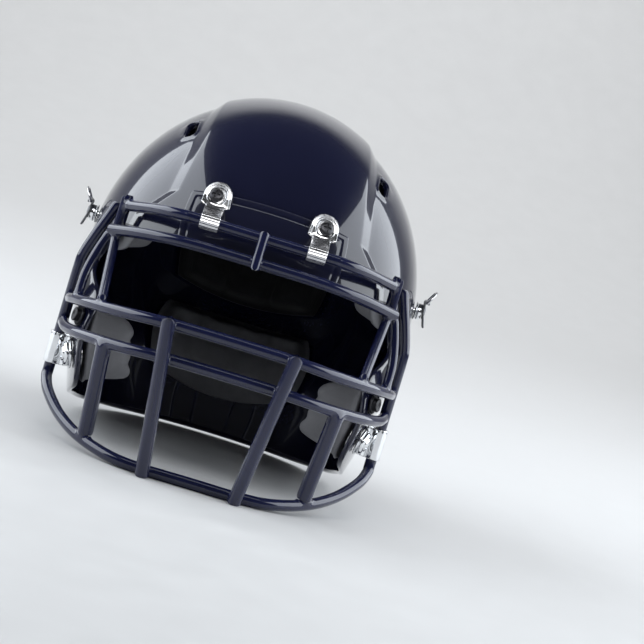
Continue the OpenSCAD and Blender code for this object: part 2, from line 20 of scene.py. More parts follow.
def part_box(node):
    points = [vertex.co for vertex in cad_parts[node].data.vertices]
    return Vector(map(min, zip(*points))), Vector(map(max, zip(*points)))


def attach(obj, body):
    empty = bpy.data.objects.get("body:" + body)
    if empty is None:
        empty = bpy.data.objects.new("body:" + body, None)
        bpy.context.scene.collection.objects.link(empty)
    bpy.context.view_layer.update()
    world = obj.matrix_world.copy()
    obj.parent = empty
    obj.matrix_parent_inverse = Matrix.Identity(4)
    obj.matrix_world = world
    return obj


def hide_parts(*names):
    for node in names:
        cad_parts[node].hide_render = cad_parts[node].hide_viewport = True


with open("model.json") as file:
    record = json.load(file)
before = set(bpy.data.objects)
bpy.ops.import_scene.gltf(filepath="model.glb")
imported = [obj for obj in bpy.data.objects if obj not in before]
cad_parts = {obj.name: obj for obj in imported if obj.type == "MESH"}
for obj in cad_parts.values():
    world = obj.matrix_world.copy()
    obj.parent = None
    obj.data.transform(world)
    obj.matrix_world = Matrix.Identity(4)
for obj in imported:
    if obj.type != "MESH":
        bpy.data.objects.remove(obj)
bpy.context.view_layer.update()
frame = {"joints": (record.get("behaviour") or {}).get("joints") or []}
MM = 0.001
Faces = list[tuple[int, ...]]
SIDE_CLIP_AT = (-70 * MM, 54 * MM)
LOG = logging.getLogger("helmet")


class Side(Enum):
    """Side of the helmet, as someone sees it who faces the helmet."""

    LEFT = "left"
    RIGHT = "right"

    @property
    def sign(self) -> float:
        """Sign of X on this side."""
        return -1.0 if self is Side.LEFT else 1.0


# --- Points, curves and meshes ----------------------------------------------------------------


def unit(v: np.ndarray) -> np.ndarray:
    """Scales vectors to length 1.

    Args:
        v: One vector, or vectors along the last axis.

    Returns:
        The same directions at length 1; a zero vector stays zero.
    """
    return v / np.maximum(np.linalg.norm(v, axis=-1, keepdims=True), 1e-12)


def ease(low: float, high: float, v: np.ndarray) -> np.ndarray:
    """Smooth step with zero slope and curvature at both ends.

    Args:
        low: Value where the step starts.
        high: Value where it ends.
        v: Values to look up.

    Returns:
        0 below low, 1 above high, and a quintic between.
    """
    t = np.clip((np.asarray(v, float) - low) / (high - low), 0.0, 1.0)
    return t * t * t * (t * (6 * t - 15) + 10)


def ramp(low: float, high: float, corner: float, v: np.ndarray) -> np.ndarray:
    """Straight ramp from 1 down to 0 with rounded corners.

    Args:
        low: Value where the ramp leaves 1.
        high: Value where it reaches 0.
        corner: Length over which each corner is rounded.
        v: Values to look up.

    Returns:
        The height of the ramp at each value.
    """
    def soft(x: np.ndarray) -> np.ndarray:
        """Ramp that starts at 0 with a rounded corner."""
        return np.where(x < -corner, 0.0, np.where(x > corner, x, (x + corner) ** 2 / (4 * corner)))

    return 1.0 - (soft(v - low) - soft(v - high)) / (high - low)


def catmull(points: Sequence[Sequence[float]], steps: int) -> np.ndarray:
    """Smooth curve through points.

    Args:
        points: Points of any dimension.
        steps: Steps between neighbours.

    Returns:
        The points of the curve, as rows.
    """
    p = np.asarray(points, float)
    ends = np.vstack([2 * p[0] - p[1], p, 2 * p[-1] - p[-2]])
    t = (np.arange(steps) / steps)[:, None]
    parts = [
        0.5 * (2 * b + (c - a) * t + (2 * a - 5 * b + 4 * c - d) * t**2 + (3 * b - a - 3 * c + d) * t**3)
        for a, b, c, d in zip(ends, ends[1:], ends[2:], ends[3:])
    ]
    return np.vstack([*parts, p[-1:]])


def even(path: np.ndarray, spacing: float) -> np.ndarray:
    """Points at even distances along a path.

    Args:
        path: Points of the path, as rows.
        spacing: Wanted distance between points.

    Returns:
        The new points, with the same ends.
    """
    run = np.concatenate([[0], np.cumsum(np.linalg.norm(np.diff(path, axis=0), axis=1))])
    at = np.linspace(0, run[-1], max(3, int(round(run[-1] / spacing)) + 1))
    return np.column_stack([np.interp(at, run, path[:, k]) for k in range(path.shape[1])])


def filleted(points: Sequence[Sequence[float]], radius: float, steps: int = 4) -> np.ndarray:
    """Polyline with its inner corners rounded.

    Args:
        points: Corners of the polyline.
        radius: How far each corner is cut back along its legs, at most half a leg.
        steps: Steps along each rounded corner.

    Returns:
        The points of the rounded polyline, as rows.
    """
    p = np.asarray(points, float)
    out = [p[0]]
    for before, corner, after in zip(p, p[1:], p[2:]):
        back = min(radius, np.linalg.norm(before - corner) / 2, np.linalg.norm(after - corner) / 2)
        a, b = corner + back * unit(before - corner), corner + back * unit(after - corner)
        t = np.linspace(0, 1, steps + 1)[:, None]
        out.extend((1 - t) ** 2 * a + 2 * t * (1 - t) * corner + t**2 * b)
    out.append(p[-1])
    return np.array(out)


def strip_faces(first: Sequence[int], second: Sequence[int], closed: bool) -> Faces:
    """Quads between two rows of vertices.

    Args:
        first: Vertex numbers of one row.
        second: Vertex numbers of the other row.
        closed: True if the rows are rings.

    Returns:
        The faces.
    """
    n = len(first)
    return [
        (first[i], first[(i + 1) % n], second[(i + 1) % n], second[i])
        for i in range(n if closed else n - 1)
    ]


def grid_faces(rows: int, cols: int, start: int = 0, closed: bool = False, flip: bool = False) -> Faces:
    """Quads of a grid of vertices that is stored row by row.

    Args:
        rows: Number of rows.
        cols: Number of vertices in a row.
        start: Number of the first vertex.
        closed: True if each row is a ring.
        flip: True to turn the faces over.

    Returns:
        The faces.
    """
    faces = []
    for r in range(rows - 1):
        low = [start + r * cols + c for c in range(cols)]
        faces += strip_faces(low, [v + cols for v in low], closed)
    return [f[::-1] for f in faces] if flip else faces


def mesh_piece(name: str, points: np.ndarray, faces: Faces,
               normals: Optional[np.ndarray] = None) -> bpy.types.Object:
    """Makes a smooth-shaded mesh object.

    Args:
        name: Name of the object.
        points: Vertices in the row frame, as rows.
        faces: Vertex numbers of each face.
        normals: Shading normal of each vertex, if they are known better than from the faces.

    Returns:
        The new object, linked to the scene.
    """
    mesh = bpy.data.meshes.new(name)
    mesh.from_pydata(np.asarray(points, float).tolist(), [], faces)
    mesh.validate()
    mesh.update()
    mesh.shade_smooth()
    if normals is not None:
        mesh.normals_split_custom_set_from_vertices(unit(normals).tolist())
    piece = bpy.data.objects.new(name, mesh)
    bpy.context.scene.collection.objects.link(piece)
    return piece


@dataclass(frozen=True)
class Facing:
    """A place on a surface: its local Z is the outward direction."""

    point: np.ndarray
    outward: np.ndarray
    up: tuple[float, float, float] = (0.0, 0.0, 1.0)

    @property
    def axes(self) -> np.ndarray:
        """Right, top and outward directions, as rows."""
        right = unit(np.cross(self.up, self.outward))
        return np.array([right, np.cross(self.outward, right), unit(self.outward)])

    def out(self, local: np.ndarray) -> np.ndarray:
        """Turns local points into points of the row frame."""
        return self.point + np.asarray(local, float) @ self.axes

    def local(self, points: np.ndarray) -> np.ndarray:
        """Turns points of the row frame into local points."""
        return (np.asarray(points, float) - self.point) @ self.axes.T


def lathe(name: str, profile: Sequence[Sequence[float]], place: Facing, corner: float = 0.3 * MM,
          segments: int = 48) -> bpy.types.Object:
    """Turns a profile round the outward axis of a place.

    Args:
        name: Name of the piece.
        profile: Radius and height of each corner, from the bottom to the top.
        place: Where the piece stands.
        corner: Radius of the rounding at each corner.
        segments: Segments around.

    Returns:
        The turned piece; ends on the axis are closed.
    """
    rz = filleted(profile, corner, 3)
    rz[:, 0] = np.maximum(rz[:, 0], 0)
    turn = 2 * np.pi * np.arange(segments) / segments
    rings = [np.column_stack([r * np.cos(turn), r * np.sin(turn), np.full(segments, z)])
             for r, z in rz if r > 1e-6]
    faces = grid_faces(len(rings), segments, closed=True)
    points = list(np.vstack(rings))
    for end, ring in ((0, 0), (-1, len(rings) - 1)):
        if rz[end][0] <= 1e-6:
            points.append(np.array([0.0, 0.0, rz[end][1]]))
            low = ring * segments
            fan = [(low + i, low + (i + 1) % segments, len(points) - 1) for i in range(segments)]
            faces += fan if ring else [f[::-1] for f in fan]
    return mesh_piece(name, place.out(np.array(points)), faces)


def tube_rings(path: np.ndarray, radius: np.ndarray, sides: int) -> tuple[np.ndarray, Faces]:
    """Round tube along a path, with frames that don't twist.

    Args:
        path: Points of the centre line, as rows.
        radius: Radius at each point.
        sides: Vertices around.

    Returns:
        The vertices and the faces; each end is closed by a fan.
    """
    tangent = unit(np.gradient(path, axis=0))
    across = unit(np.cross(tangent[0], [0.31, 0.17, 0.94]))
    turn = 2 * np.pi * np.arange(sides) / sides
    rings = []
    for p, t, r in zip(path, tangent, radius):
        across = unit(across - np.dot(across, t) * t)
        other = np.cross(t, across)
        rings.append(p + r * (np.cos(turn)[:, None] * across + np.sin(turn)[:, None] * other))
    n = len(path)
    points = np.vstack([*rings, path[:1], path[-1:]])
    faces = grid_faces(n, sides, closed=True)
    faces += [((i + 1) % sides, i, n * sides) for i in range(sides)]
    last = (n - 1) * sides
    faces += [(last + i, last + (i + 1) % sides, n * sides + 1) for i in range(sides)]
    return points, faces


def round_ends(path: np.ndarray, radius: float, rings: int = 5,
               reach: float = 0.0) -> tuple[np.ndarray, np.ndarray]:
    """Rounds off the two ends of a path.

    Args:
        path: Points of the centre line, as rows.
        radius: Radius of the tube.
        rings: Rings in each rounded end.
        reach: How far the ends stick out, in radii.

    Returns:
        The path and the radius at each of its points.
    """
    angle = np.linspace(0.12, 0.5 * np.pi, rings)[:, None]
    flat = 0.55
    start, end = unit(path[0] - path[1]), unit(path[-1] - path[-2])
    head = path[0] + radius * (reach - flat * (1 - np.cos(angle))) * start
    tail = path[-1] + radius * (reach - flat * (1 - np.cos(angle[::-1]))) * end
    dome = radius * np.sin(angle[:, 0])
    inner = path[(np.linalg.norm(path - path[0], axis=1) > 0.7 * radius)
                 & (np.linalg.norm(path - path[-1], axis=1) > 0.7 * radius)]
    return (np.vstack([head, inner, tail]),
            np.concatenate([dome, np.full(len(inner), radius), dome[::-1]]))


def tube(name: str, path: np.ndarray, radius: float, sides: int = 16) -> bpy.types.Object:
    """Round-ended tube along a path.

    Args:
        name: Name of the piece.
        path: Points of the centre line, as rows.
        radius: Radius of the tube.
        sides: Vertices around.

    Returns:
        The tube.
    """
    line, radii = round_ends(path, radius)
    return mesh_piece(name, *tube_rings(line, radii, sides))


def rounding(distance: np.ndarray, radius: float) -> np.ndarray:
    """Share of the full thickness that a rounded edge leaves.

    Args:
        distance: Distance from the edge.
        radius: Radius of the rounding.

    Returns:
        0 at the edge, growing round a quarter circle to 1.
    """
    inside = np.clip(distance / radius, 0.0, 1.0)
    return np.sqrt(1.0 - (1.0 - inside) ** 2)


def edge_steps(count: int, edge: float) -> np.ndarray:
    """Places from -1 to 1 that crowd together towards both ends.

    Args:
        count: Number of steps.
        edge: How strongly they crowd, from 0, even, to 1.

    Returns:
        The places.
    """
    t = np.linspace(-1, 1, count + 1)
    return (1 - edge) * t + edge * np.sin(0.5 * np.pi * t)


def solid_between(name: str, top: np.ndarray, bottom: np.ndarray) -> bpy.types.Object:
    """Closed piece between two grids of points that share their outline.

    Args:
        name: Name of the piece.
        top: Grid of points, rows by columns by 3, seen from outside with columns to the left.
        bottom: The grid under it, of the same size.

    Returns:
        The piece; its rims are welded where the grids meet.
    """
    rows, cols = top.shape[:2]
    points = np.vstack([top.reshape(-1, 3), bottom.reshape(-1, 3)])
    faces = grid_faces(rows, cols) + grid_faces(rows, cols, start=rows * cols, flip=True)
    piece = mesh_piece(name, points, faces)
    bm = bmesh.new()
    bm.from_mesh(piece.data)
    bmesh.ops.remove_doubles(bm, verts=bm.verts, dist=0.01 * MM)
    rim = [e for e in bm.edges if e.is_boundary]
    if rim:
        bmesh.ops.bridge_loops(bm, edges=rim)
    bmesh.ops.recalc_face_normals(bm, faces=bm.faces)
    bm.to_mesh(piece.data)
    bm.free()
    piece.data.shade_smooth()
    return piece


# --- Form of the dome -------------------------------------------------------------------------


@dataclass(frozen=True)
class DomeForm:
    """Outer face of the shell. A point is named by its side fraction f, -1 to 1, and lap angle a.

    The lap angle is in degrees: 0 looks forward, 90 is the crown, 180 the back, 270 straight down.
    """

    half_width: float
    centre_y: float = 27 * MM
    centre_z: float = 130 * MM
    up: float = 130 * MM
    out: float = 133 * MM
    jaw_reach: float = 92 * MM
    panel_rise: float = 4 * MM
    bevel_half: float = 3.5 * MM
    bevel_corner: float = 0.9 * MM
    panel_laps: tuple[float, ...] = (0, 8, 18, 27, 46, 90, 130, 170, 200, 330, 360)
    panel_halves: tuple[float, ...] = (91, 90, 86, 68, 63, 56, 50, 43, 40, 88, 91)

    def outline(self, a: np.ndarray) -> np.ndarray:
        """Radius of the side outline at a lap angle."""
        below = np.where(a > 180, 360 - a, 0)
        rad = np.radians(a)
        oval = 1 / np.sqrt((np.cos(rad) / self.out) ** 2 + (np.sin(rad) / self.up) ** 2)
        return oval + self.jaw_reach * ease(0, 34, below) * (1 - ease(95, 150, below))

    def power(self, a: np.ndarray) -> np.ndarray:
        """Exponent of the plan outline at a lap angle."""
        return 2 + 0.25 * np.cos(np.radians(a)) ** 2

    def spread(self, f: np.ndarray, a: np.ndarray) -> np.ndarray:
        """Share of the side outline that is left at a side fraction."""
        p = self.power(a)
        return np.maximum(0, 1 - np.abs(f) ** p) ** (1 / p)

    def panel_half(self, a: np.ndarray) -> np.ndarray:
        """Half width of the raised panel at a lap angle."""
        return MM * np.interp(a, self.panel_laps, self.panel_halves)

    def rise(self, f: np.ndarray, a: np.ndarray, blur: float = 0.0) -> np.ndarray:
        """Height of the raised panel over the dome.

        Args:
            f: Side fractions.
            a: Lap angles.
            blur: Extra half width of the bevel, for the smoother inner face.

        Returns:
            The height at each point.
        """
        along = self.panel_rise * (1 - ease(165, 200, a) + ease(310, 335, a))
        half = self.bevel_half + blur
        off = np.abs(f) * self.half_width - self.panel_half(a)
        return along * ramp(-half, half, self.bevel_corner + blur / 2, off)

    def skin(self, f: np.ndarray, a: np.ndarray, depth: float = 0.0, blur: float = 0.0) -> np.ndarray:
        """Points of the dome.

        Args:
            f: Side fractions.
            a: Lap angles.
            depth: Depth under the outer face.
            blur: Extra half width of the bevel.

        Returns:
            Points, along a new last axis.
        """
        f, a = np.broadcast_arrays(np.asarray(f, float), np.mod(np.asarray(a, float), 360))
        r = (self.outline(a) - depth) * self.spread(f, a) + self.rise(f, a, blur)
        rad = np.radians(a)
        return np.stack([f * (self.half_width - depth), self.centre_y - r * np.cos(rad),
                         self.centre_z + r * np.sin(rad)], axis=-1)

    def normal(self, f: np.ndarray, a: np.ndarray, step: float = 0.004) -> np.ndarray:
        """Outward direction at points of the dome.

        Args:
            f: Side fractions.
            a: Lap angles.
            step: Side fraction over which the slope is taken.

        Returns:
            Unit vectors.
        """
        f, a = np.broadcast_arrays(np.asarray(f, float), np.asarray(a, float))
        g = np.clip(f, -0.999, 0.999)
        lap = self.skin(g, a + 0.4) - self.skin(g, a - 0.4)
        side = self.skin(np.clip(g - step, -1, 1), a) - self.skin(np.clip(g + step, -1, 1), a)
        return unit(np.cross(lap, side))

    def side_x(self, y: np.ndarray, z: np.ndarray, depth: float = 0.0) -> np.ndarray:
        """Side distance of the dome at places of its side view, at a depth."""
        a = np.mod(np.degrees(np.arctan2(z - self.centre_z, self.centre_y - y)), 360)
        k = np.hypot(z - self.centre_z, self.centre_y - y) / (self.outline(a) - depth)
        p = self.power(a)
        return (self.half_width - depth) * np.maximum(0, 1 - k**p) ** (1 / p)

    def side_place(self, y: float, z: float, side: Side = Side.RIGHT) -> Facing:
        """Place on the dome's side, from its side view.

        Args:
            y: Fore-and-aft place.
            z: Height.
            side: Side of the helmet.

        Returns:
            The place with its outward direction.
        """
        def at(v: float, w: float) -> np.ndarray:
            """Point of the side at a place of the side view."""
            return np.array([float(self.side_x(np.array(v), np.array(w))), v, w])

        mirror = np.array([side.sign, 1.0, 1.0])
        outward = unit(np.cross(at(y + MM, z) - at(y - MM, z), at(y, z + MM) - at(y, z - MM)))
        return Facing(at(y, z) * mirror, outward * mirror)

    def place(self, f: float, a: float) -> Facing:
        """Place on the dome, its top pointing along the lap."""
        step = self.skin(f, a + 1) - self.skin(f, a - 1)
        return Facing(self.skin(f, a), self.normal(f, a, 0.01), tuple(step))


# --- Finishes ---------------------------------------------------------------------------------


class Graph:
    """Short way to write a material's nodes."""

    def __init__(self, name: str) -> None:
        """Makes a material with an empty node tree, a surface shader and its output.

        Args:
            name: Name of the material.
        """
        self.material = bpy.data.materials.new(name)
        self.material.use_nodes = True
        self.tree = self.material.node_tree
        self.tree.nodes.clear()
        self.shader = self.node("ShaderNodeBsdfPrincipled")
        output = self.node("ShaderNodeOutputMaterial")
        self.link(self.shader.outputs["BSDF"], output.inputs["Surface"])
        self.place = self.node("ShaderNodeTexCoord").outputs["Object"]

    def node(self, kind: str, settings: Optional[dict] = None, **inputs: object) -> bpy.types.Node:
        """Adds a node.

        Args:
            kind: Type of the node.
            settings: Properties to set on it.
            **inputs: Socket names, with _ for a space, and a value or an output to link.

        Returns:
            The node.
        """
        node = self.tree.nodes.new(kind)
        for key, value in (settings or {}).items():
            setattr(node, key, value)
        for key, value in inputs.items():
            self.feed(node.inputs[key.replace("_", " ")], value)
        return node

    def feed(self, socket: bpy.types.NodeSocket, value: object) -> None:
        """Sets a socket, or links it if the value is an output."""
        if isinstance(value, bpy.types.NodeSocket):
            self.link(value, socket)
        else:
            socket.default_value = value

    def link(self, output: bpy.types.NodeSocket, socket: bpy.types.NodeSocket) -> None:
        """Links an output to an input."""
        self.tree.links.new(output, socket)

    def math(self, operation: str, a: object, b: object = 0.0) -> bpy.types.NodeSocket:
        """Result of a math node."""
        node = self.node("ShaderNodeMath", {"operation": operation})
        self.feed(node.inputs[0], a)
        self.feed(node.inputs[1], b)
        return node.outputs[0]

    def noise(self, scale: float, detail: float = 3.0, rough: float = 0.5,
              stretch: tuple[float, float, float] = (1, 1, 1)) -> bpy.types.NodeSocket:
        """Noise over the object, with scale in features per metre."""
        where = self.node("ShaderNodeMapping", Vector=self.place, Scale=stretch).outputs[0]
        return self.node("ShaderNodeTexNoise", Vector=where, Scale=scale, Detail=detail,
                         Roughness=rough).outputs["Fac"]

    def cells(self, scale: float, feature: str = "F1") -> bpy.types.NodeSocket:
        """Distance in a cell pattern, with scale in cells per metre."""
        return self.node("ShaderNodeTexVoronoi", {"feature": feature}, Vector=self.place,
                         Scale=scale).outputs["Distance"]

    def spread(self, value: bpy.types.NodeSocket, low: float, high: float,
               start: float = 0.3, end: float = 0.7) -> bpy.types.NodeSocket:
        """Value moved from the range start to end into low to high."""
        node = self.node("ShaderNodeMapRange", Value=value, To_Min=low, To_Max=high)
        node.inputs["From Min"].default_value = start
        node.inputs["From Max"].default_value = end
        return node.outputs[0]

    def mix(self, share: bpy.types.NodeSocket, first: Sequence[float],
            second: Sequence[float]) -> bpy.types.NodeSocket:
        """Mix of two colours."""
        node = self.node("ShaderNodeMix", {"data_type": "RGBA"})
        self.feed(node.inputs[0], share)
        self.feed(node.inputs[6], (*first, 1.0))
        self.feed(node.inputs[7], (*second, 1.0))
        return node.outputs[2]

    def bump(self, height: bpy.types.NodeSocket, distance: float, strength: float = 1.0,
             under: Optional[bpy.types.NodeSocket] = None) -> bpy.types.NodeSocket:
        """Bumped normal.

        Args:
            height: Height pattern.
            distance: Height in metres of a value of 1.
            strength: Strength of the bump.
            under: Normal of a coarser bump under this one.

        Returns:
            The normal.
        """
        node = self.node("ShaderNodeBump", Height=height, Distance=distance, Strength=strength)
        if under is not None:
            self.link(under, node.inputs["Normal"])
        return node.outputs[0]

    def set(self, **inputs: object) -> None:
        """Sets or links sockets of the surface shader."""
        for key, value in inputs.items():
            self.feed(self.shader.inputs[key.replace("_", " ")], value)


@dataclass(frozen=True)
class GlossCoat:
    """Deep gloss paint or moulded plastic under a clear coat, with faint ripple and hairlines."""

    name: str
    dark: tuple[float, float, float]
    light: tuple[float, float, float]
    rough: float = 0.22
    coat_rough: float = 0.035
    ripple: float = 0.012 * MM
    ripple_scale: float = 55.0
    specular: float = 0.15
    metal: float = 0.0
    coat_ior: float = 1.52

    def material(self) -> bpy.types.Material:
        """Builds the material."""
        g = Graph(self.name)
        cloud = g.noise(9.0, 4.0)
        g.set(Base_Color=g.mix(g.spread(cloud, 0, 1), self.dark, self.light))
        hair = g.noise(240.0, 6.0, 0.7, (1.0, 6.0, 1.4))
        worn = g.math("MULTIPLY", g.spread(cloud, 0.85, 1.2), g.spread(hair, 0.9, 1.15))
        g.set(Roughness=g.math("MULTIPLY", worn, self.rough), Metallic=self.metal,
              Coat_Weight=1.0, Coat_Roughness=self.coat_rough, Coat_IOR=self.coat_ior)
        g.shader.inputs["Specular IOR Level"].default_value = self.specular
        peel = g.bump(g.noise(self.ripple_scale, 2.0), self.ripple)
        fine = g.bump(g.noise(900.0, 2.0), 0.0015 * MM, 1.0, peel)
        g.set(Normal=fine)
        g.shader.inputs["Coat Normal"].default_value = (0, 0, 0)
        g.link(peel, g.shader.inputs["Coat Normal"])
        return g.material


@dataclass(frozen=True)
class BareMetal:
    """Polished, brushed or plated metal with fine directional lines and dulled patches."""

    name: str
    colour: tuple[float, float, float]
    shade: tuple[float, float, float]
    rough: float
    grain: float = 1400.0
    stretch: tuple[float, float, float] = (0.08, 1.0, 1.0)
    line_depth: float = 0.004 * MM

    def material(self) -> bpy.types.Material:
        """Builds the material."""
        g = Graph(self.name)
        dull = g.noise(140.0, 4.0, 0.6)
        lines = g.noise(self.grain, 3.0, 0.7, self.stretch)
        g.set(Base_Color=g.mix(g.spread(dull, 0, 1), self.colour, self.shade), Metallic=1.0)
        g.set(Roughness=g.math("MULTIPLY", g.spread(dull, 0.75, 1.4), g.spread(
            lines, 0.8 * self.rough, 1.3 * self.rough)))
        g.set(Normal=g.bump(lines, self.line_depth))
        return g.material


@dataclass(frozen=True)
class Vinyl:
    """Soft vinyl cover with leather grain, creases and slight soiling."""

    name: str
    colour: tuple[float, float, float]
    shade: tuple[float, float, float]
    rough: float = 0.5
    grain: float = 900.0

    def material(self) -> bpy.types.Material:
        """Builds the material."""
        g = Graph(self.name)
        soil = g.noise(45.0, 5.0, 0.6)
        pores = g.cells(self.grain, "SMOOTH_F1")
        g.set(Base_Color=g.mix(g.spread(soil, 0, 1), self.colour, self.shade))
        g.set(Roughness=g.math("ADD", g.spread(soil, self.rough - 0.06, self.rough + 0.08),
                               g.spread(pores, 0.0, 0.1, 0.2, 0.7)))
        crease = g.bump(g.noise(130.0, 5.0, 0.6), 0.25 * MM)
        g.set(Normal=g.bump(pores, 0.12 * MM, 0.8, crease))
        g.shader.inputs["Specular IOR Level"].default_value = 0.4
        return g.material


@dataclass(frozen=True)
class Knit:
    """Warp-knitted lining: columns of loops, with a soft sheen and lint."""

    name: str
    colour: tuple[float, float, float]
    shade: tuple[float, float, float]
    loops: float = 520.0
    sheen: float = 0.25

    def material(self) -> bpy.types.Material:
        """Builds the material."""
        g = Graph(self.name)
        split = g.node("ShaderNodeSeparateXYZ", Vector=g.place)
        waves = []
        for axis, rate in (("X", 1.0), ("Y", 1.0), ("Z", 1.3)):
            turned = g.math("MULTIPLY", split.outputs[axis], 2 * math.pi * self.loops * rate)
            waves.append(g.math("SINE", turned))
        weave = g.math("MULTIPLY", g.math("ADD", waves[0], waves[1]), g.math("ADD", waves[2], 1.4))
        lint = g.noise(70.0, 5.0, 0.65)
        g.set(Base_Color=g.mix(g.spread(lint, 0, 1), self.colour, self.shade))
        g.set(Roughness=g.spread(weave, 0.78, 0.95, -3.0, 3.0), Sheen_Weight=self.sheen)
        soft = g.bump(g.noise(90.0, 4.0), 0.3 * MM)
        g.set(Normal=g.bump(g.spread(weave, 0.0, 1.0, -3.0, 3.0), 0.10 * MM, 0.9, soft))
        g.shader.inputs["Specular IOR Level"].default_value = 0.25
        return g.material


@dataclass(frozen=True)
class Rubber:
    """Matt moulded rubber with a fine grain and chalky bloom."""

    name: str
    colour: tuple[float, float, float]
    bloom: tuple[float, float, float]
    rough: float = 0.6

    def material(self) -> bpy.types.Material:
        """Builds the material."""
        g = Graph(self.name)
        dust = g.noise(160.0, 5.0, 0.6)
        g.set(Base_Color=g.mix(g.spread(dust, 0, 1), self.colour, self.bloom))
        g.set(Roughness=g.spread(dust, self.rough - 0.08, self.rough + 0.12))
        g.set(Normal=g.bump(g.noise(1500.0, 3.0), 0.02 * MM))
        return g.material


class Finish(Enum):
    """Finishes of the helmet; each value's name, with _finish added, names its material."""

    SHELL = GlossCoat("shell_gloss", (0.0055, 0.0065, 0.022), (0.008, 0.0095, 0.032))
    BUMPER = GlossCoat("bumper_gloss", (0.006, 0.007, 0.023), (0.009, 0.0105, 0.034), rough=0.3,
                       coat_rough=0.06, ripple=0.02 * MM)
    MASK = GlossCoat("mask_coating", (0.006, 0.008, 0.034), (0.009, 0.012, 0.05), rough=0.2,
                     coat_rough=0.05, ripple=0.03 * MM, ripple_scale=110.0, coat_ior=1.5)
    STEEL = BareMetal("clip_steel", (0.74, 0.74, 0.75), (0.62, 0.62, 0.64), 0.22)
    CHROME = BareMetal("clip_chrome", (0.86, 0.87, 0.88), (0.78, 0.79, 0.81), 0.09,
                       line_depth=0.0015 * MM)
    WIRE = BareMetal("wire_steel", (0.66, 0.66, 0.68), (0.5, 0.5, 0.52), 0.16)
    DARK = BareMetal("dark_hardware", (0.07, 0.07, 0.075), (0.035, 0.035, 0.04), 0.32)
    BUCKLE = BareMetal("buckle_grey", (0.22, 0.225, 0.235), (0.15, 0.155, 0.165), 0.36)
    RUBBER = Rubber("valve_rubber", (0.02, 0.02, 0.021), (0.035, 0.035, 0.036))
    LINER = Knit("liner_black", (0.012, 0.012, 0.013), (0.02, 0.02, 0.022))
    PAD = Vinyl("pad_grey", (0.20, 0.20, 0.212), (0.155, 0.155, 0.165))

    def on(self, piece: bpy.types.Object) -> bool:
        """Tells whether a piece has this finish."""
        return piece.data.materials[0].name == self.value.name + "_finish"

    def dress(self, piece: bpy.types.Object) -> bpy.types.Object:
        """Gives a piece this finish.

        Args:
            piece: The piece.

        Returns:
            The same piece.
        """
        label = self.value.name + "_finish"
        material = bpy.data.materials.get(label) or self.value.material()
        material.name = label
        piece.data.materials.clear()
        piece.data.materials.append(material)
        return piece


@dataclass
class SubAssembly:
    """A group of pieces that ride on one body."""

    dome: DomeForm
    pieces: list[bpy.types.Object] = field(default_factory=list, init=False)

    def add(self, piece: bpy.types.Object, body: str, finish: Finish, *nodes: str) -> bpy.types.Object:
        """Dresses a piece, hangs it on its body and lets it stand for CAD nodes.

        Args:
            piece: The piece.
            body: Body that it rides on.
            finish: Its finish.
            *nodes: CAD nodes that it stands for.

        Returns:
            The same piece.
        """
        finish.dress(piece)
        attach(piece, body)
        if nodes:
            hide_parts(*nodes)
        self.pieces.append(piece)
        return piece

    def report(self) -> None:
        """Logs the pieces that were built."""
        for piece in self.pieces:
            LOG.info("%s: %s, %d vertices", type(self).__name__, piece.name, len(piece.data.vertices))


# --- Shell ------------------------------------------------------------------------------------


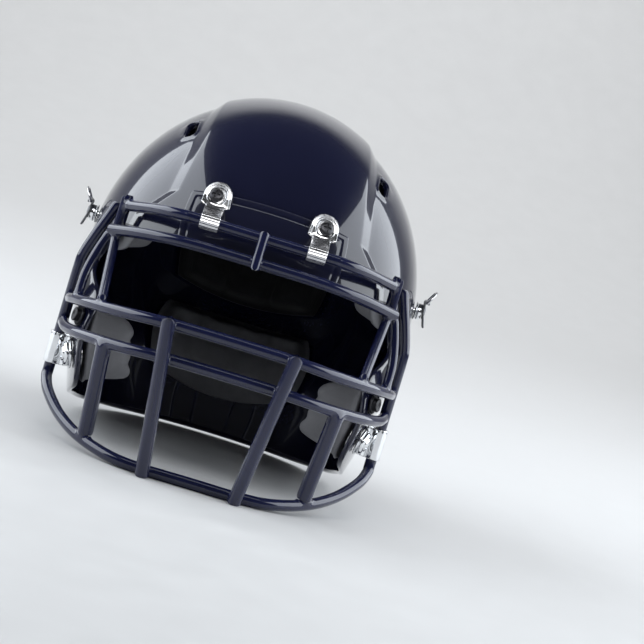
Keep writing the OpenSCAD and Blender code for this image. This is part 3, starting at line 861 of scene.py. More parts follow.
@dataclass
class Shell(SubAssembly):
    """The moulded shell, with round-edged openings, and its two bumpers."""

    wall: float = 4 * MM
    rim: float = 1.6 * MM
    laps: int = 360
    panel_cols: int = 24
    bevel_cols: int = 14
    side_cols: int = 30
    ear: tuple[float, float, float] = (2 * MM, 88 * MM, 19 * MM)
    vents: tuple[tuple[float, float], ...] = ((0.585, 62), (0.3, 118), (0.3, 152))
    vent_r: float = 4 * MM
    vent_half: float = 7.5 * MM
    vent_lip: float = 0.9 * MM
    lip_reach: float = 4 * MM
    edge: tuple[tuple[float, float], ...] = (
        (-140, 150), (-60, 149), (-54, 141), (-47, 129), (-44, 121), (-48, 114), (-60, 108),
        (-76, 101), (-87, 92), (-91, 79), (-90, 60), (-85, 42), (-75, 33), (-58, 28), (-20, 20),
        (20, 14), (60, 7), (92, 2.6), (118, 0.6), (180, 0.4))
    far_corners: tuple[tuple[float, float], ...] = ((180, -260), (-300, -260), (-300, 150))

    def __post_init__(self) -> None:
        """Works out the cut line and the places of the vents."""
        self.cut_line = catmull(self.edge, 10) * MM
        self.cut_ring = np.vstack([self.cut_line, np.array(self.far_corners) * MM])
        self.vent_places = [self.dome.place(s * f, a) for f, a in self.vents for s in (-1, 1)]

    def edge_distance(self, p: np.ndarray) -> np.ndarray:
        """Distance from the edge of the face opening and the neck in side view, negative past it."""
        q = p[:, None, 1:]
        a, b = self.cut_line[:-1], self.cut_line[1:]
        along = np.clip(((q - a) * (b - a)).sum(-1) / ((b - a) ** 2).sum(-1), 0, 1)
        distance = np.linalg.norm(q - a - along[..., None] * (b - a), axis=-1).min(1)
        c, d = self.cut_ring, np.roll(self.cut_ring, -1, axis=0)
        crosses = (c[:, 1] > q[..., 1]) != (d[:, 1] > q[..., 1])
        rise = np.where(np.abs(d[:, 1] - c[:, 1]) < 1e-9, 1e-9, d[:, 1] - c[:, 1])
        at = c[:, 0] + (q[..., 1] - c[:, 1]) * (d[:, 0] - c[:, 0]) / rise
        cut = (crosses & (q[..., 0] < at)).sum(1) % 2 == 1
        return np.where(cut, -distance, distance)

    def vent_distance(self, p: np.ndarray) -> np.ndarray:
        """Distance from the nearest vent slot, negative inside it."""
        nearest = np.full(len(p), 1.0)
        for vent in self.vent_places:
            q = vent.local(p)
            slot = np.hypot(q[:, 0], np.maximum(np.abs(q[:, 1]) - self.vent_half, 0)) - self.vent_r
            nearest = np.minimum(nearest, np.where(np.abs(q[:, 2]) < 20 * MM, slot, 1.0))
        return nearest

    def material_depth(self, p: np.ndarray) -> np.ndarray:
        """Distance from the nearest opening, negative inside one."""
        y, z, r = self.ear
        ear = np.hypot(p[:, 1] - y, p[:, 2] - z) - r
        ear = np.where(np.abs(p[:, 0]) > 60 * MM, ear, 1.0)
        return np.minimum(np.minimum(self.edge_distance(p), ear), self.vent_distance(p))

    def columns(self, a: float) -> np.ndarray:
        """Side fractions of the grid at one lap angle, close together on the bevels."""
        half = float(self.dome.panel_half(np.array(a)))
        reach = self.dome.bevel_half + self.dome.bevel_corner
        inner, outer = half - reach, (half + reach) / self.dome.half_width
        start = math.asin(outer)
        flat = np.linspace(0, inner, self.panel_cols, endpoint=False) / self.dome.half_width
        slope = np.linspace(inner, half + reach, self.bevel_cols, endpoint=False) / self.dome.half_width
        side = np.sin(np.linspace(start, 0.5 * np.pi, self.side_cols, endpoint=False))
        right = np.concatenate([flat, slope, side])
        return np.concatenate([-right[:0:-1], right])

    def outer(self, f: np.ndarray, a: np.ndarray) -> np.ndarray:
        """Points of the outer face, with the raised lips of the vents."""
        p = self.dome.skin(f, a)
        gap = self.vent_distance(p)
        lip = self.vent_lip * (1 - ease(0.6 * self.rim, self.lip_reach, gap))
        return p + lip[:, None] * self.dome.normal(f, a)

    def clipped_grid(self) -> tuple[np.ndarray, np.ndarray, Faces]:
        """Cuts the openings out of the dome's grid.

        Returns:
            Side fraction and lap angle of each vertex, and the faces, seen from outside.
        """
        angle = np.arange(self.laps) * 360.0 / self.laps
        fraction = np.array([self.columns(a) for a in angle])
        cols = fraction.shape[1]
        f, a = fraction.ravel(), np.repeat(angle, cols)

        def depth(f: np.ndarray, a: np.ndarray) -> np.ndarray:
            """Distance from the line where the rounded rim begins."""
            return self.material_depth(self.dome.skin(f, a)) - self.rim

        value = depth(f, a)
        near = np.flatnonzero(np.abs(value) < 0.5 * MM)
        for _ in range(3):
            slope_f = (depth(f[near] + 1e-4, a[near]) - depth(f[near] - 1e-4, a[near])) / 2e-4
            slope_a = (depth(f[near], a[near] + 0.02) - depth(f[near], a[near] - 0.02)) / 0.04
            per_f, per_a = self.dome.half_width, 2.2 * MM
            g = np.stack([slope_f / per_f, slope_a / per_a])
            move = -depth(f[near], a[near]) * g / np.maximum((g**2).sum(0), 0.05)
            f[near] += move[0] / per_f
            a[near] += move[1] / per_a
        value[near] = 0.0
        number = np.arange(self.laps * cols).reshape(self.laps, cols)
        above = np.roll(number, -1, axis=0)
        pairs = np.vstack([
            np.column_stack([number[:, :-1].ravel(), number[:, 1:].ravel()]),
            np.column_stack([number.ravel(), above.ravel()])])
        first, second = pairs.T
        mixed = value[first] * value[second] < 0
        kept = np.where(value[first[mixed]] > 0, first[mixed], second[mixed])
        lost = np.where(value[first[mixed]] > 0, second[mixed], first[mixed])
        turn = np.round((a[lost] - a[kept]) / 360) * 360
        low, high = np.zeros(len(kept)), np.ones(len(kept))
        for _ in range(14):
            t = (low + high) / 2
            solid = depth(f[kept] + t * (f[lost] - f[kept]), a[kept] + t * (a[lost] - turn - a[kept])) > 0
            low, high = np.where(solid, t, low), np.where(solid, high, t)
        new_f = f[kept] + low * (f[lost] - f[kept])
        new_a = a[kept] + low * (a[lost] - turn - a[kept])
        crossing = {frozenset(pair): len(f) + i for i, pair in enumerate(zip(kept.tolist(), lost.tolist()))}
        faces: Faces = []
        for row in range(self.laps):
            up = (row + 1) % self.laps
            for col in range(cols - 1):
                cell = [row * cols + col, row * cols + col + 1, up * cols + col + 1, up * cols + col]
                v = value[cell]
                if (v >= 0).all():
                    if (v > 0).any():
                        faces.append(tuple(cell))
                    continue
                if not (v > 0).any():
                    continue
                ring: list[int] = []
                for p, q in zip(cell, cell[1:] + cell[:1]):
                    if value[p] >= 0:
                        ring.append(p)
                    if value[p] * value[q] < 0:
                        ring.append(crossing[frozenset((p, q))])
                if len(ring) > 2:
                    faces.append(tuple(ring))
        f, a = np.concatenate([f, new_f]), np.concatenate([a, new_a])
        # Both fans are wound against the grid, so body() rolls a rim round each of them too.
        for col, pole in ((0, -1.0), (cols - 1, 1.0)):
            ring = [row * cols + col for row in range(self.laps)]
            centre = len(f)
            f, a = np.append(f, pole), np.append(a, 0.0)
            fan = [(ring[i], ring[(i + 1) % self.laps], centre) for i in range(self.laps)]
            faces += fan if pole > 0 else [t[::-1] for t in fan]
        return f, a, faces

    def body(self) -> bpy.types.Object:
        """Builds the shell from its outer and inner faces, joined by rounded rims at every loose edge."""
        f, a, faces = self.clipped_grid()
        used = np.unique(np.concatenate([np.array(t) for t in faces]))
        renumber = np.full(len(f), -1)
        renumber[used] = np.arange(len(used))
        faces = [tuple(int(renumber[v]) for v in t) for t in faces]
        f, a = f[used], a[used]
        outer = self.outer(f, a)
        inner = self.dome.skin(f, a, self.wall, 5 * MM)
        count = len(f)
        points = [outer, inner]
        seen: dict[tuple[int, int], bool] = {}
        for t in faces:
            for p, q in zip(t, t[1:] + t[:1]):
                seen[(p, q)] = True
        after = {p: q for p, q in seen if (q, p) not in seen}
        all_faces = faces + [tuple(v + count for v in t[::-1]) for t in faces]
        total = 2 * count
        while after:
            start, loop = next(iter(after)), []
            v = start
            while v in after:
                loop.append(v)
                v = after.pop(v)
            loop = loop[::-1]
            rows = self.rim_rows(f[loop], a[loop], outer[loop], inner[loop])
            previous = loop
            for row in rows:
                ring = list(range(total, total + len(loop)))
                points.append(row)
                total += len(loop)
                all_faces += strip_faces(previous, ring, True)
                previous = ring
            all_faces += strip_faces(previous, [v + count for v in loop], True)
        return mesh_piece("shell_moulding", np.vstack(points), all_faces)

    def rim_rows(self, f: np.ndarray, a: np.ndarray, top: np.ndarray, bottom: np.ndarray) -> list[np.ndarray]:
        """Rows of points round the edge of an opening, from the outer face to the inner one.

        Args:
            f: Side fraction of each point of the loop.
            a: Lap angle of each point.
            top: The loop on the outer face.
            bottom: The loop on the inner face.

        Returns:
            The rows between the two loops.
        """
        p, n = self.dome.skin(f, a), self.dome.normal(f, a)
        east = unit(np.cross(n, [0.3, 0.2, 0.93]))
        north = np.cross(n, east)
        h = 0.2 * MM
        slope = sum(((self.material_depth(p + h * e) - self.material_depth(p - h * e)) / (2 * h))[:, None] * e
                    for e in (east, north))
        steep = np.clip(np.linalg.norm(slope, axis=1, keepdims=True), 0.6, 1.2)
        outward = -unit(slope) * self.rim / steep
        down = bottom - top
        share = self.rim / self.wall
        rows = [top + outward * math.sin(t) + down * share * (1 - math.cos(t))
                for t in np.linspace(0.3, 0.5 * math.pi, 5)]
        rows += [top + outward * math.cos(t) + down * (1 - share * (1 - math.sin(t)))
                 for t in np.linspace(0, 0.5 * math.pi - 0.3, 5)]
        return rows

    def bumper(self, name: str, half_f: float, laps: tuple[float, float], square: float) -> bpy.types.Object:
        """Curved plate on the shell, with rounded edges and a shallow frame line.

        Args:
            name: Name of the piece.
            half_f: Side fraction of its ends.
            laps: Lap angles of its edges at the middle.
            square: How much its corners are cut back, from 0.

        Returns:
            The plate.
        """
        gap, thick, edge = 0.6 * MM, 2.6 * MM, 1.6 * MM
        u, v = np.meshgrid(edge_steps(90, 0.8), edge_steps(56, 0.8))
        f = half_f * u * np.sqrt(1 - square * v * v / 2)
        mid, half = (laps[0] + laps[1]) / 2, (laps[1] - laps[0]) / 2
        a = mid + half * v * np.sqrt(1 - square * u * u / 2)
        high = math.radians(half) * self.dome.out
        across = (1 - np.abs(u)) * half_f * self.dome.half_width
        along = (1 - np.abs(v)) * high
        dull = rounding(across, edge) * rounding(along, edge)
        inset = np.minimum(across, along)
        line = 0.45 * MM * np.exp(-(((inset - 5.5 * MM) / (0.7 * MM)) ** 2))
        n = self.dome.normal(f, a)
        base = self.dome.skin(f, a)
        top = base + n * (gap + thick * dull - line)[..., None]
        return solid_between(name, top, base + n * gap)

    def build(self) -> None:
        """Builds the shell and its bumpers."""
        self.add(self.body(), "helmet", Finish.SHELL, "shell")
        self.add(self.bumper("front_bumper_plate", 0.47, (8.6, 27), 0.12), "helmet", Finish.BUMPER,
                 "front_bumper")
        self.add(self.bumper("rear_bumper_plate", 0.45, (196, 224), 0.2), "helmet", Finish.BUMPER,
                 "rear_bumper")


# --- Facemask ---------------------------------------------------------------------------------


@dataclass(frozen=True)
class Bar:
    """One coated wire bar of the facemask, with its centre line in millimetres."""

    name: str
    points: tuple[tuple[float, float, float], ...]
    radius: float
    nodes: tuple[str, ...]
    whole: bool = False

    def path(self, side: Side) -> np.ndarray:
        """Centre line of the bar.

        Args:
            side: Side of the helmet; a bar that spans both sides is the same for each.

        Returns:
            Evenly spaced points, in metres.
        """
        p = np.array(self.points, float)
        if self.whole:
            p = np.vstack([p[:0:-1] * [-1, 1, 1], p])
        else:
            p = p * [side.sign, 1, 1]
        return even(catmull(p, 12) * MM, 1.8 * MM)


@dataclass
class Facemask(SubAssembly):
    """Welded wire mask: each bar is its own tube, drawn out into the weld fillets of its neighbours."""

    hinge_y: float = -115.0
    hinge_z: float = 171.0
    front: float = -164.7
    bar_r: float = 3.9
    upright_r: float = 4.8
    chin_r: float = 5.3
    strut_r: float = 3.2
    spar_r: float = 3.3
    loop_x: float = 116.5
    loop_y: float = -60.0
    fillet: float = 3.4 * MM
    most_pull: float = 2.2 * MM
    sides: int = 32

    def bars(self) -> list[Bar]:
        """The bars of the right half and those that span both halves."""
        hy, hz, r, x, y = self.hinge_y, self.hinge_z, self.bar_r, self.loop_x, self.loop_y
        up_y = self.front + self.upright_r
        nose = up_y + self.upright_r + r + 0.15
        mouth = nose + 1.1
        chin = up_y + 3.4 + self.upright_r + r + 0.15
        return [
            Bar("brow_tube", ((0, hy, hz), (48, hy, hz), (52, hy, hz), (64, -110, 170), (76, -98, 168),
                              (93, -76, 164)), r, ("brow_bar", "brow_wing_left", "brow_wing_right"), True),
            Bar("eye_tube", ((0, -120.5, 154.5), (46, -119, 154), (76, -104.5, 150.5), (101, -80.5, 145)),
                r, ("eye_bar",), True),
            Bar("nose_tube", ((0, nose - 1.5, 102.6), (43.5, nose, 102), (74, -137, 99), (98, -110, 95.5),
                              (111, -83, 92.5), (115.2, y - 8.4, 90.5)), r, ("nose_bar",), True),
            Bar("mouth_tube", ((0, mouth - 1.5, 79.6), (43.5, mouth, 79), (74, -136, 76.2),
                               (98, -109, 73.6), (111, -83, 72.2), (115.2, y - 8.4, 73.5)), r,
                ("mouth_bar",), True),
            Bar("chin_tube", ((0, chin, r), (33, chin, r), (56, chin + 7, 4.8), (80, -121, 8.6),
                              (98, -98, 15.5), (111, -77, 25.5), (116, -63.5, 33), (x, y, 39),
                              (x, y, 70), (x, y, 112), (115.5, -60.2, 123), (111, -61.5, 138),
                              (106, -62.5, 152), (103, -63, 161)), r,
                ("chin_bar", "side_bar_left", "side_bar_right"), True),
            Bar("centre_spar_tube", ((0, -120.5 - r - self.spar_r - 0.9, 151.5),
                                     (0, hy - r - self.spar_r - 1.55, 175)), self.spar_r,
                ("centre_spar",)),
            Bar("brow_upright_tube", ((97.6, -71, 141), (97, -71, 168)), 4.0, ("brow_upright",)),
            Bar("window_tube", ((102.5, -73.5, 140.4), (106.5, -76, 127), (109.5, -80, 112),
                                (109.8, -85, 97.6)), self.strut_r, ("window_bar",)),
            Bar("window_strut_tube", ((96.4, -84.2, 139), (91.6, -117.6, 102.6)), self.strut_r,
                ("window_strut",)),
            Bar("mouth_upright_tube", ((31.5, up_y + 3.4, 1.6), (43.5, up_y, 104)), self.upright_r,
                ("mouth_upright",)),
            Bar("chin_upright_tube", ((76.5, -124, 14.4), (80.6, -130.2, 71)), self.chin_r,
                ("chin_upright",)),
        ]

    @staticmethod
    def gap(points: np.ndarray, path: np.ndarray, radius: float) -> np.ndarray:
        """Distance of points from the surface of a bar, negative inside it."""
        a, b = path[:-1], path[1:]
        q = points[:, None]
        along = np.clip(((q - a) * (b - a)).sum(-1) / ((b - a) ** 2).sum(-1), 0, 1)
        return np.linalg.norm(q - a - along[..., None] * (b - a), axis=-1).min(1) - radius

    def welded(self, points: np.ndarray, lines: list[tuple[np.ndarray, float]]) -> np.ndarray:
        """Distance from the welded frame: where two bars meet, their surfaces flow together."""
        k = self.fillet
        total: Optional[np.ndarray] = None
        for path, radius in lines:
            d = self.gap(points, path, radius)
            if total is None:
                total = d
                continue
            h = np.maximum(k - np.abs(total - d), 0) / k
            total = np.minimum(total, d) - h * h * k / 4
        return total

    def draw(self, name: str, path: np.ndarray, radius: float,
             lines: list[tuple[np.ndarray, float]]) -> bpy.types.Object:
        """One bar, its surface pulled out to the weld fillets.

        Args:
            name: Name of the piece.
            path: Centre line.
            radius: Radius of the bar.
            lines: Centre line and radius of every bar of the mask.

        Returns:
            The bar.
        """
        line, radii = round_ends(path, radius, reach=0.45)
        points, faces = tube_rings(line, radii, self.sides)
        points[:, 2] = np.maximum(points[:, 2], 0.0)
        box_low, box_high = points.min(0) - 12 * MM, points.max(0) + 12 * MM
        near = [(q, r) for q, r in lines
                if (q.max(0) + r > box_low).all() and (q.min(0) - r < box_high).all()]
        ring = np.minimum(np.arange(len(points)) // self.sides, len(line) - 1)
        normals = unit(points - line[ring])
        normals[-2:] = unit(line[[0, -1]] - line[[1, -2]])
        others = np.min([self.gap(points, q, r) for q, r in near if q is not path], axis=0)
        live = np.flatnonzero(others < self.fillet + 0.5 * MM)
        start, moving, h = points[live], points[live], 0.05 * MM
        for step in range(5):
            value = self.welded(moving, near)
            slope = np.stack([self.welded(moving + h * e, near) - self.welded(moving - h * e, near)
                              for e in np.eye(3)], axis=1) / (2 * h)
            clear = np.linalg.norm(slope, axis=1, keepdims=True) > 0.3
            normals[live] = np.where(clear, unit(slope), normals[live])
            if step == 4:
                break
            moved = moving - np.where(clear, value[:, None] * normals[live], 0.0) - start
            length = np.linalg.norm(moved, axis=1, keepdims=True)
            moving = start + moved * np.minimum(1, self.most_pull / np.maximum(length, 1e-9))
        points[live] = moving
        return mesh_piece(name, points, faces, normals)

    def build(self) -> None:
        """Builds every bar."""
        drawn = []
        for bar in self.bars():
            for side in ((Side.RIGHT,) if bar.whole or bar.name.startswith("centre") else Side):
                suffix = "" if bar.whole or bar.name.startswith("centre") else "_" + side.value
                nodes = [n + suffix for n in bar.nodes]
                drawn.append((bar.name + suffix, bar.path(side), bar.radius * MM, nodes))
        lines = [(path, radius) for _, path, radius, _ in drawn]
        for name, path, radius, nodes in drawn:
            self.add(self.draw(name, path, radius, lines), "facemask", Finish.MASK, *nodes)


# --- Stamped metal ----------------------------------------------------------------------------


def stamped_strip(name: str, centre: np.ndarray, width_dir: np.ndarray, half: np.ndarray, thick: float,
                  relief: Callable[[np.ndarray, np.ndarray], np.ndarray], edge: float = 0.5 * MM,
                  cols: int = 44) -> bpy.types.Object:
    """Strip of sheet metal bent along a line.

    Args:
        name: Name of the piece.
        centre: Points of its middle line, as rows.
        width_dir: Direction across the strip at each point.
        half: Half width at each point.
        thick: Thickness of the metal.
        relief: Height of its ribs and dishes, from distance along and distance across.
        edge: Radius of the rounded edges.
        cols: Steps across.

    Returns:
        The strip.
    """
    tangent = unit(np.gradient(centre, axis=0))
    across = unit(width_dir - (width_dir * tangent).sum(1, keepdims=True) * tangent)
    out = np.cross(tangent, across)
    run = np.concatenate([[0], np.cumsum(np.linalg.norm(np.diff(centre, axis=0), axis=1))])
    u = edge_steps(cols, 0.8)
    side = u[None, :] * half[:, None]
    ends = rounding(np.minimum(run, run[-1] - run), edge)[:, None]
    dull = rounding(half[:, None] - np.abs(side), edge) * ends
    high = relief(np.broadcast_to(run[:, None], side.shape), side)
    middle = centre[:, None] + across[:, None] * side[..., None] + out[:, None] * high[..., None]
    lift = 0.5 * thick * dull[..., None] * out[:, None]
    return solid_between(name, middle + lift, middle - lift)


@dataclass
class TopClips(SubAssembly):
    """Two stamped steel clips over the brow: dished plate, dark screw and ribbed loop."""

    spacing: float = 37.5 * MM
    lap: float = 25.5
    lift: float = 3.9 * MM
    stock: float = 1.5 * MM
    plate_half: float = 10 * MM
    loop_half: float = 6.6 * MM
    plate_low: float = 9 * MM
    bar_r: float = 3.95 * MM
    screw_r: float = 4.8 * MM
    rib_pitch: float = 2.9 * MM

    def centre_line(self, place: Facing, bar: np.ndarray) -> np.ndarray:
        """Middle line of a clip's metal, from the top of the plate round the bar.

        Args:
            place: Where the screw goes through the shell.
            bar: Centre of the bar at the clip.

        Returns:
            Evenly spaced points.
        """
        height = self.lift + self.stock / 2
        top = place.out(np.array([[0, self.plate_half, height], [0, 4 * MM, height],
                                  [0, -self.plate_low, height]]))
        top[:, 0] += (bar[0] - top[-1, 0]) * np.array([0.0, 0.25, 1.0])
        r = self.bar_r + self.stock / 2
        turn = np.radians(np.linspace(-8, 285, 50))
        loop = np.column_stack([np.full(50, bar[0]), bar[1] - r * np.sin(turn), bar[2] + r * np.cos(turn)])
        return even(filleted(np.vstack([top, loop]), 3 * MM, 6), 0.4 * MM)

    def clip(self, name: str, side: Side, bar: np.ndarray) -> bpy.types.Object:
        """One clip.

        Args:
            name: Name of the piece.
            side: Side of the helmet.
            bar: Centre of the bar at the clip.

        Returns:
            The clip.
        """
        place = self.dome.place(side.sign * self.spacing / self.dome.half_width, self.lap)
        place = Facing(place.point, place.outward)
        line = self.centre_line(place, bar)
        run = np.concatenate([[0], np.cumsum(np.linalg.norm(np.diff(line, axis=0), axis=1))])
        plate_end = self.plate_half + self.plate_low
        crown = np.sqrt(np.maximum(self.plate_half**2 - np.maximum(self.plate_half - run, 0) ** 2, 0))
        narrow = ease(plate_end - 1.2 * MM, plate_end + 0.2 * MM, run)
        half = np.maximum(crown * (1 - narrow) + self.loop_half * narrow, 0.2 * MM)
        blend = ease(0.5 * plate_end, plate_end, run)[:, None]
        width = place.axes[0] * (1 - blend) + np.array([1.0, 0, 0]) * blend
        loop_start = plate_end + 15.5 * MM

        def relief(s: np.ndarray, w: np.ndarray) -> np.ndarray:
            """Height of the pressed shapes at a distance along and across."""
            reach = np.hypot(s - self.plate_half, w)
            inset = np.minimum(self.plate_half - reach, self.plate_half - np.abs(w))
            inset = np.where(s > self.plate_half, self.plate_half - np.abs(w), inset)
            on_plate = 1 - ease(plate_end - 2 * MM, plate_end, s)
            border = 0.7 * MM * (1 - ease(1.0 * MM, 2.4 * MM, inset)) * on_plate
            dish = -0.9 * MM * (1 - ease(self.screw_r + 0.5 * MM, self.screw_r + 2.1 * MM, reach))
            ring = 0.35 * MM * np.exp(-(((reach - self.screw_r - 2.3 * MM) / (0.6 * MM)) ** 2))
            tongue = 0.5 * MM * (1 - ease(0.82 * self.loop_half, self.loop_half, np.abs(w))) * ease(
                self.plate_half + 5 * MM, self.plate_half + 7 * MM, s) * (
                1 - ease(plate_end + 2 * MM, plate_end + 5 * MM, s))
            wave = (0.5 + 0.5 * np.sin(2 * np.pi * (s - loop_start) / self.rib_pitch)) ** 3
            ribs = -0.5 * MM * wave * ease(loop_start - 3 * MM, loop_start - 1 * MM, s)
            ribs *= 1 - ease(loop_start + 12 * MM, loop_start + 14 * MM, s)
            return border + dish + ring + tongue + ribs

        return stamped_strip(name, line, width, half, self.stock, relief)

    def screw(self, name: str, place: Facing) -> bpy.types.Object:
        """Dark pan-head screw with a cross recess, sunk into the clip's dish.

        Args:
            name: Name of the piece.
            place: Where the screw goes through the shell.

        Returns:
            The screw.
        """
        segments, rings = 72, 26
        turn = 2 * np.pi * np.arange(segments) / segments
        reach = self.screw_r * np.sin(np.linspace(0.02, 0.5 * np.pi, rings))
        x, y = reach[:, None] * np.cos(turn), reach[:, None] * np.sin(turn)
        base = self.lift + self.stock - 0.2 * MM
        dome = 1.9 * MM * np.sqrt(np.maximum(1 - (reach / self.screw_r) ** 2.6, 0))[:, None]
        narrow, wide = np.minimum(np.abs(x), np.abs(y)), np.maximum(np.abs(x), np.abs(y))
        slot = (1 - ease(0.45 * MM, 0.8 * MM, narrow)) * (1 - ease(2.4 * MM, 3.1 * MM, wide))
        z = base + dome - 1.3 * MM * slot
        points = [np.stack([x, y, z], -1).reshape(-1, 3)]
        shank = ((2.4 * MM, base), (2.4 * MM, -4 * MM))
        points += [np.column_stack([r * np.cos(turn), r * np.sin(turn), np.full(segments, h)])
                   for r, h in shank]
        faces = grid_faces(rings + 2, segments, closed=True, flip=True)
        total = (rings + 2) * segments
        points.append(np.array([[0, 0, base + 1.9 * MM - 1.3 * MM], [0, 0, -4 * MM]]))
        faces += [(i, (i + 1) % segments, total) for i in range(segments)]
        last = (rings + 1) * segments
        faces += [(last + (i + 1) % segments, last + i, total + 1) for i in range(segments)]
        return mesh_piece(name, place.out(np.vstack(points)), faces)

    def tee_nut(self, name: str, place: Facing) -> bpy.types.Object:
        """Nut with a round flange inside the shell."""
        return lathe(name, ((2.5 * MM, -6.6 * MM), (8 * MM, -6.6 * MM), (8 * MM, -5.4 * MM),
                            (3.4 * MM, -5.4 * MM), (3.4 * MM, -1.4 * MM), (2.5 * MM, -1.4 * MM),
                            (2.5 * MM, -6.6 * MM)), place)

    def build(self) -> None:
        """Builds the clips, their screws and all four nuts."""
        hinge = next(j for j in frame["joints"] if j["name"] == "mask_hinge")["pos_m"]
        for side in Side:
            first = side is Side.LEFT
            bar = np.array([side.sign * self.spacing, hinge[1], hinge[2]])
            self.add(self.clip("top_clip_plate_" + side.value, side, bar), "helmet", Finish.STEEL,
                     "top_clip_" + side.value)
            place = self.dome.place(side.sign * self.spacing / self.dome.half_width, self.lap)
            screw = self.screw("top_clip_screw_" + side.value, Facing(place.point, place.outward))
            self.add(screw, "helmet", Finish.DARK, *(("top_clip_screws",) if first else ()))
            for label, spot in (("top", place), ("side", self.dome.side_place(*SIDE_CLIP_AT, side))):
                nut = self.tee_nut(f"tee_nut_{label}_{side.value}", spot)
                self.add(nut, "helmet", Finish.STEEL, *(("tee_nuts",) if first and label == "top" else ()))


@dataclass
class SideClips(SubAssembly):
    """Chrome straps round the side bars, each with a bush and a release button."""

    at: tuple[float, float] = SIDE_CLIP_AT
    bar: tuple[float, float] = (116.5 * MM, -60 * MM)
    low: float = 43 * MM
    high: float = 65 * MM
    stock: float = 1.5 * MM
    bar_r: float = 3.9 * MM
    plate_r: float = 10 * MM
    lift: float = 1 * MM
    seat_r: float = 7.7 * MM

    def strap(self, name: str, side: Side) -> bpy.types.Object:
        """Folded strap: round plate, flared neck and ribbed wrap round the bar.

        Args:
            name: Name of the piece.
            side: Side of the helmet.

        Returns:
            The strap.
        """
        place = self.dome.side_place(*self.at, Side.RIGHT)
        height = self.lift + self.stock / 2
        middle = place.out(np.array([0.0, 0.0, height]))
        mid_z = (self.low + self.high) / 2
        r = self.bar_r + 0.2 * MM + self.stock / 2
        bar = np.array([*self.bar, mid_z])
        toward = unit(np.array([bar[0] - middle[0], bar[1] - middle[1] - r, 0.0]))
        far = middle - self.plate_r * unit(toward - toward @ place.outward * place.outward)
        near = middle + 0.55 * self.plate_r * unit(toward - toward @ place.outward * place.outward)
        turn = np.radians(np.linspace(-70, 215, 56))
        wrap = np.column_stack([bar[0] + r * np.sin(turn), bar[1] - r * np.cos(turn), np.full(56, mid_z)])
        line = even(filleted(np.vstack([far, middle, near, wrap]), 3 * MM, 6), 0.4 * MM)
        run = np.concatenate([[0], np.cumsum(np.linalg.norm(np.diff(line, axis=0), axis=1))])
        full = (self.high - self.low) / 2
        crown = np.sqrt(np.maximum(self.plate_r**2 - np.maximum(self.plate_r - run, 0) ** 2, 0))
        flare = ease(self.plate_r, self.plate_r + 6 * MM, run)
        half = np.maximum(crown * (1 - flare) + full * flare, 0.2 * MM)
        blend = ease(self.plate_r, self.plate_r + 7 * MM, run)[:, None]
        width = -(place.axes[1] * (1 - blend) + np.array([0, 0, 1.0]) * blend)
        wrap_start = self.plate_r + 7 * MM

        def relief(s: np.ndarray, w: np.ndarray) -> np.ndarray:
            """Height of the pressed shapes at a distance along and across."""
            ribs = np.abs(np.sin(np.pi * (s - wrap_start) / (3.1 * MM))) ** 0.6
            on = ease(wrap_start - MM, wrap_start + MM, s)
            on = on * (1 - ease(wrap_start + 15 * MM, wrap_start + 17 * MM, s))
            inner = 1 - ease(0.80, 0.93, np.abs(w) / full)
            seat = -0.5 * MM * (1 - ease(8.2 * MM, 9.4 * MM, np.hypot(s - self.plate_r, w)))
            return seat - 0.35 * MM * (1 - ribs) * on * inner

        piece = stamped_strip(name, line, width, half, self.stock, relief)
        self.open_seat(piece, place)
        return piece if side is Side.RIGHT else mirrored(piece)

    def open_seat(self, piece: bpy.types.Object, place: Facing) -> None:
        """Cuts the round seat of the bush through a strap.

        Args:
            piece: The strap of the right side.
            place: Where the bush goes through it.
        """
        bm = bmesh.new()
        bm.from_mesh(piece.data)
        inside = []
        for face in bm.faces:
            off = np.array(face.calc_center_median()) - place.point
            high = off @ place.outward
            if np.linalg.norm(off - high * place.outward) < self.seat_r and abs(high) < 4 * MM:
                inside.append(face)
        bmesh.ops.delete(bm, geom=inside, context="FACES")
        bmesh.ops.bridge_loops(bm, edges=[e for e in bm.edges if e.is_boundary])
        bm.to_mesh(piece.data)
        bm.free()

    def build(self) -> None:
        """Builds the straps, bushes and buttons."""
        for side in Side:
            self.add(self.strap("side_clip_strap_" + side.value, side), "facemask", Finish.CHROME,
                     "side_clip_" + side.value)
            place = self.dome.side_place(*self.at, side)
            out, inn = 7.6 * MM, 5.45 * MM
            bush = lathe("clip_bush_" + side.value,
                         ((inn, 1.0 * MM), (out - 0.4 * MM, 1.0 * MM), (out - 0.4 * MM, 2.4 * MM),
                          (8.6 * MM, 3.0 * MM), (8.6 * MM, 4.6 * MM), (out - 0.3 * MM, 6.0 * MM),
                          (inn + 0.5 * MM, 6.0 * MM), (inn, 5.2 * MM), (inn, 1.0 * MM)), place, 0.5 * MM, 72)
            self.add(bush, "facemask", Finish.CHROME, *(("clip_bushes",) if side is Side.LEFT else ()))
            r = 5.38 * MM
            button = lathe("release_button_" + side.value + "_cap",
                           ((0, 2.5 * MM), (r, 2.5 * MM), (r, 6.3 * MM), (r - 0.8 * MM, 7.3 * MM),
                            (r - 1.6 * MM, 7.5 * MM), (3.2 * MM, 7.1 * MM), (2.6 * MM, 6.7 * MM),
                            (1.6 * MM, 6.6 * MM), (0, 6.6 * MM)), place, 0.35 * MM, 72)
            self.add(button, "release_button_" + side.value, Finish.CHROME, "release_button_" + side.value)


def mirrored(piece: bpy.types.Object) -> bpy.types.Object:
    """Mirrors a piece to the other side of the helmet.

    Args:
        piece: The piece.

    Returns:
        The same piece, with its faces the right way out.
    """
    piece.data.transform(Matrix.Diagonal((-1, 1, 1, 1)))
    piece.data.flip_normals()
    return piece


# --- Chin-strap hardware and valves -------------------------------------------------------------


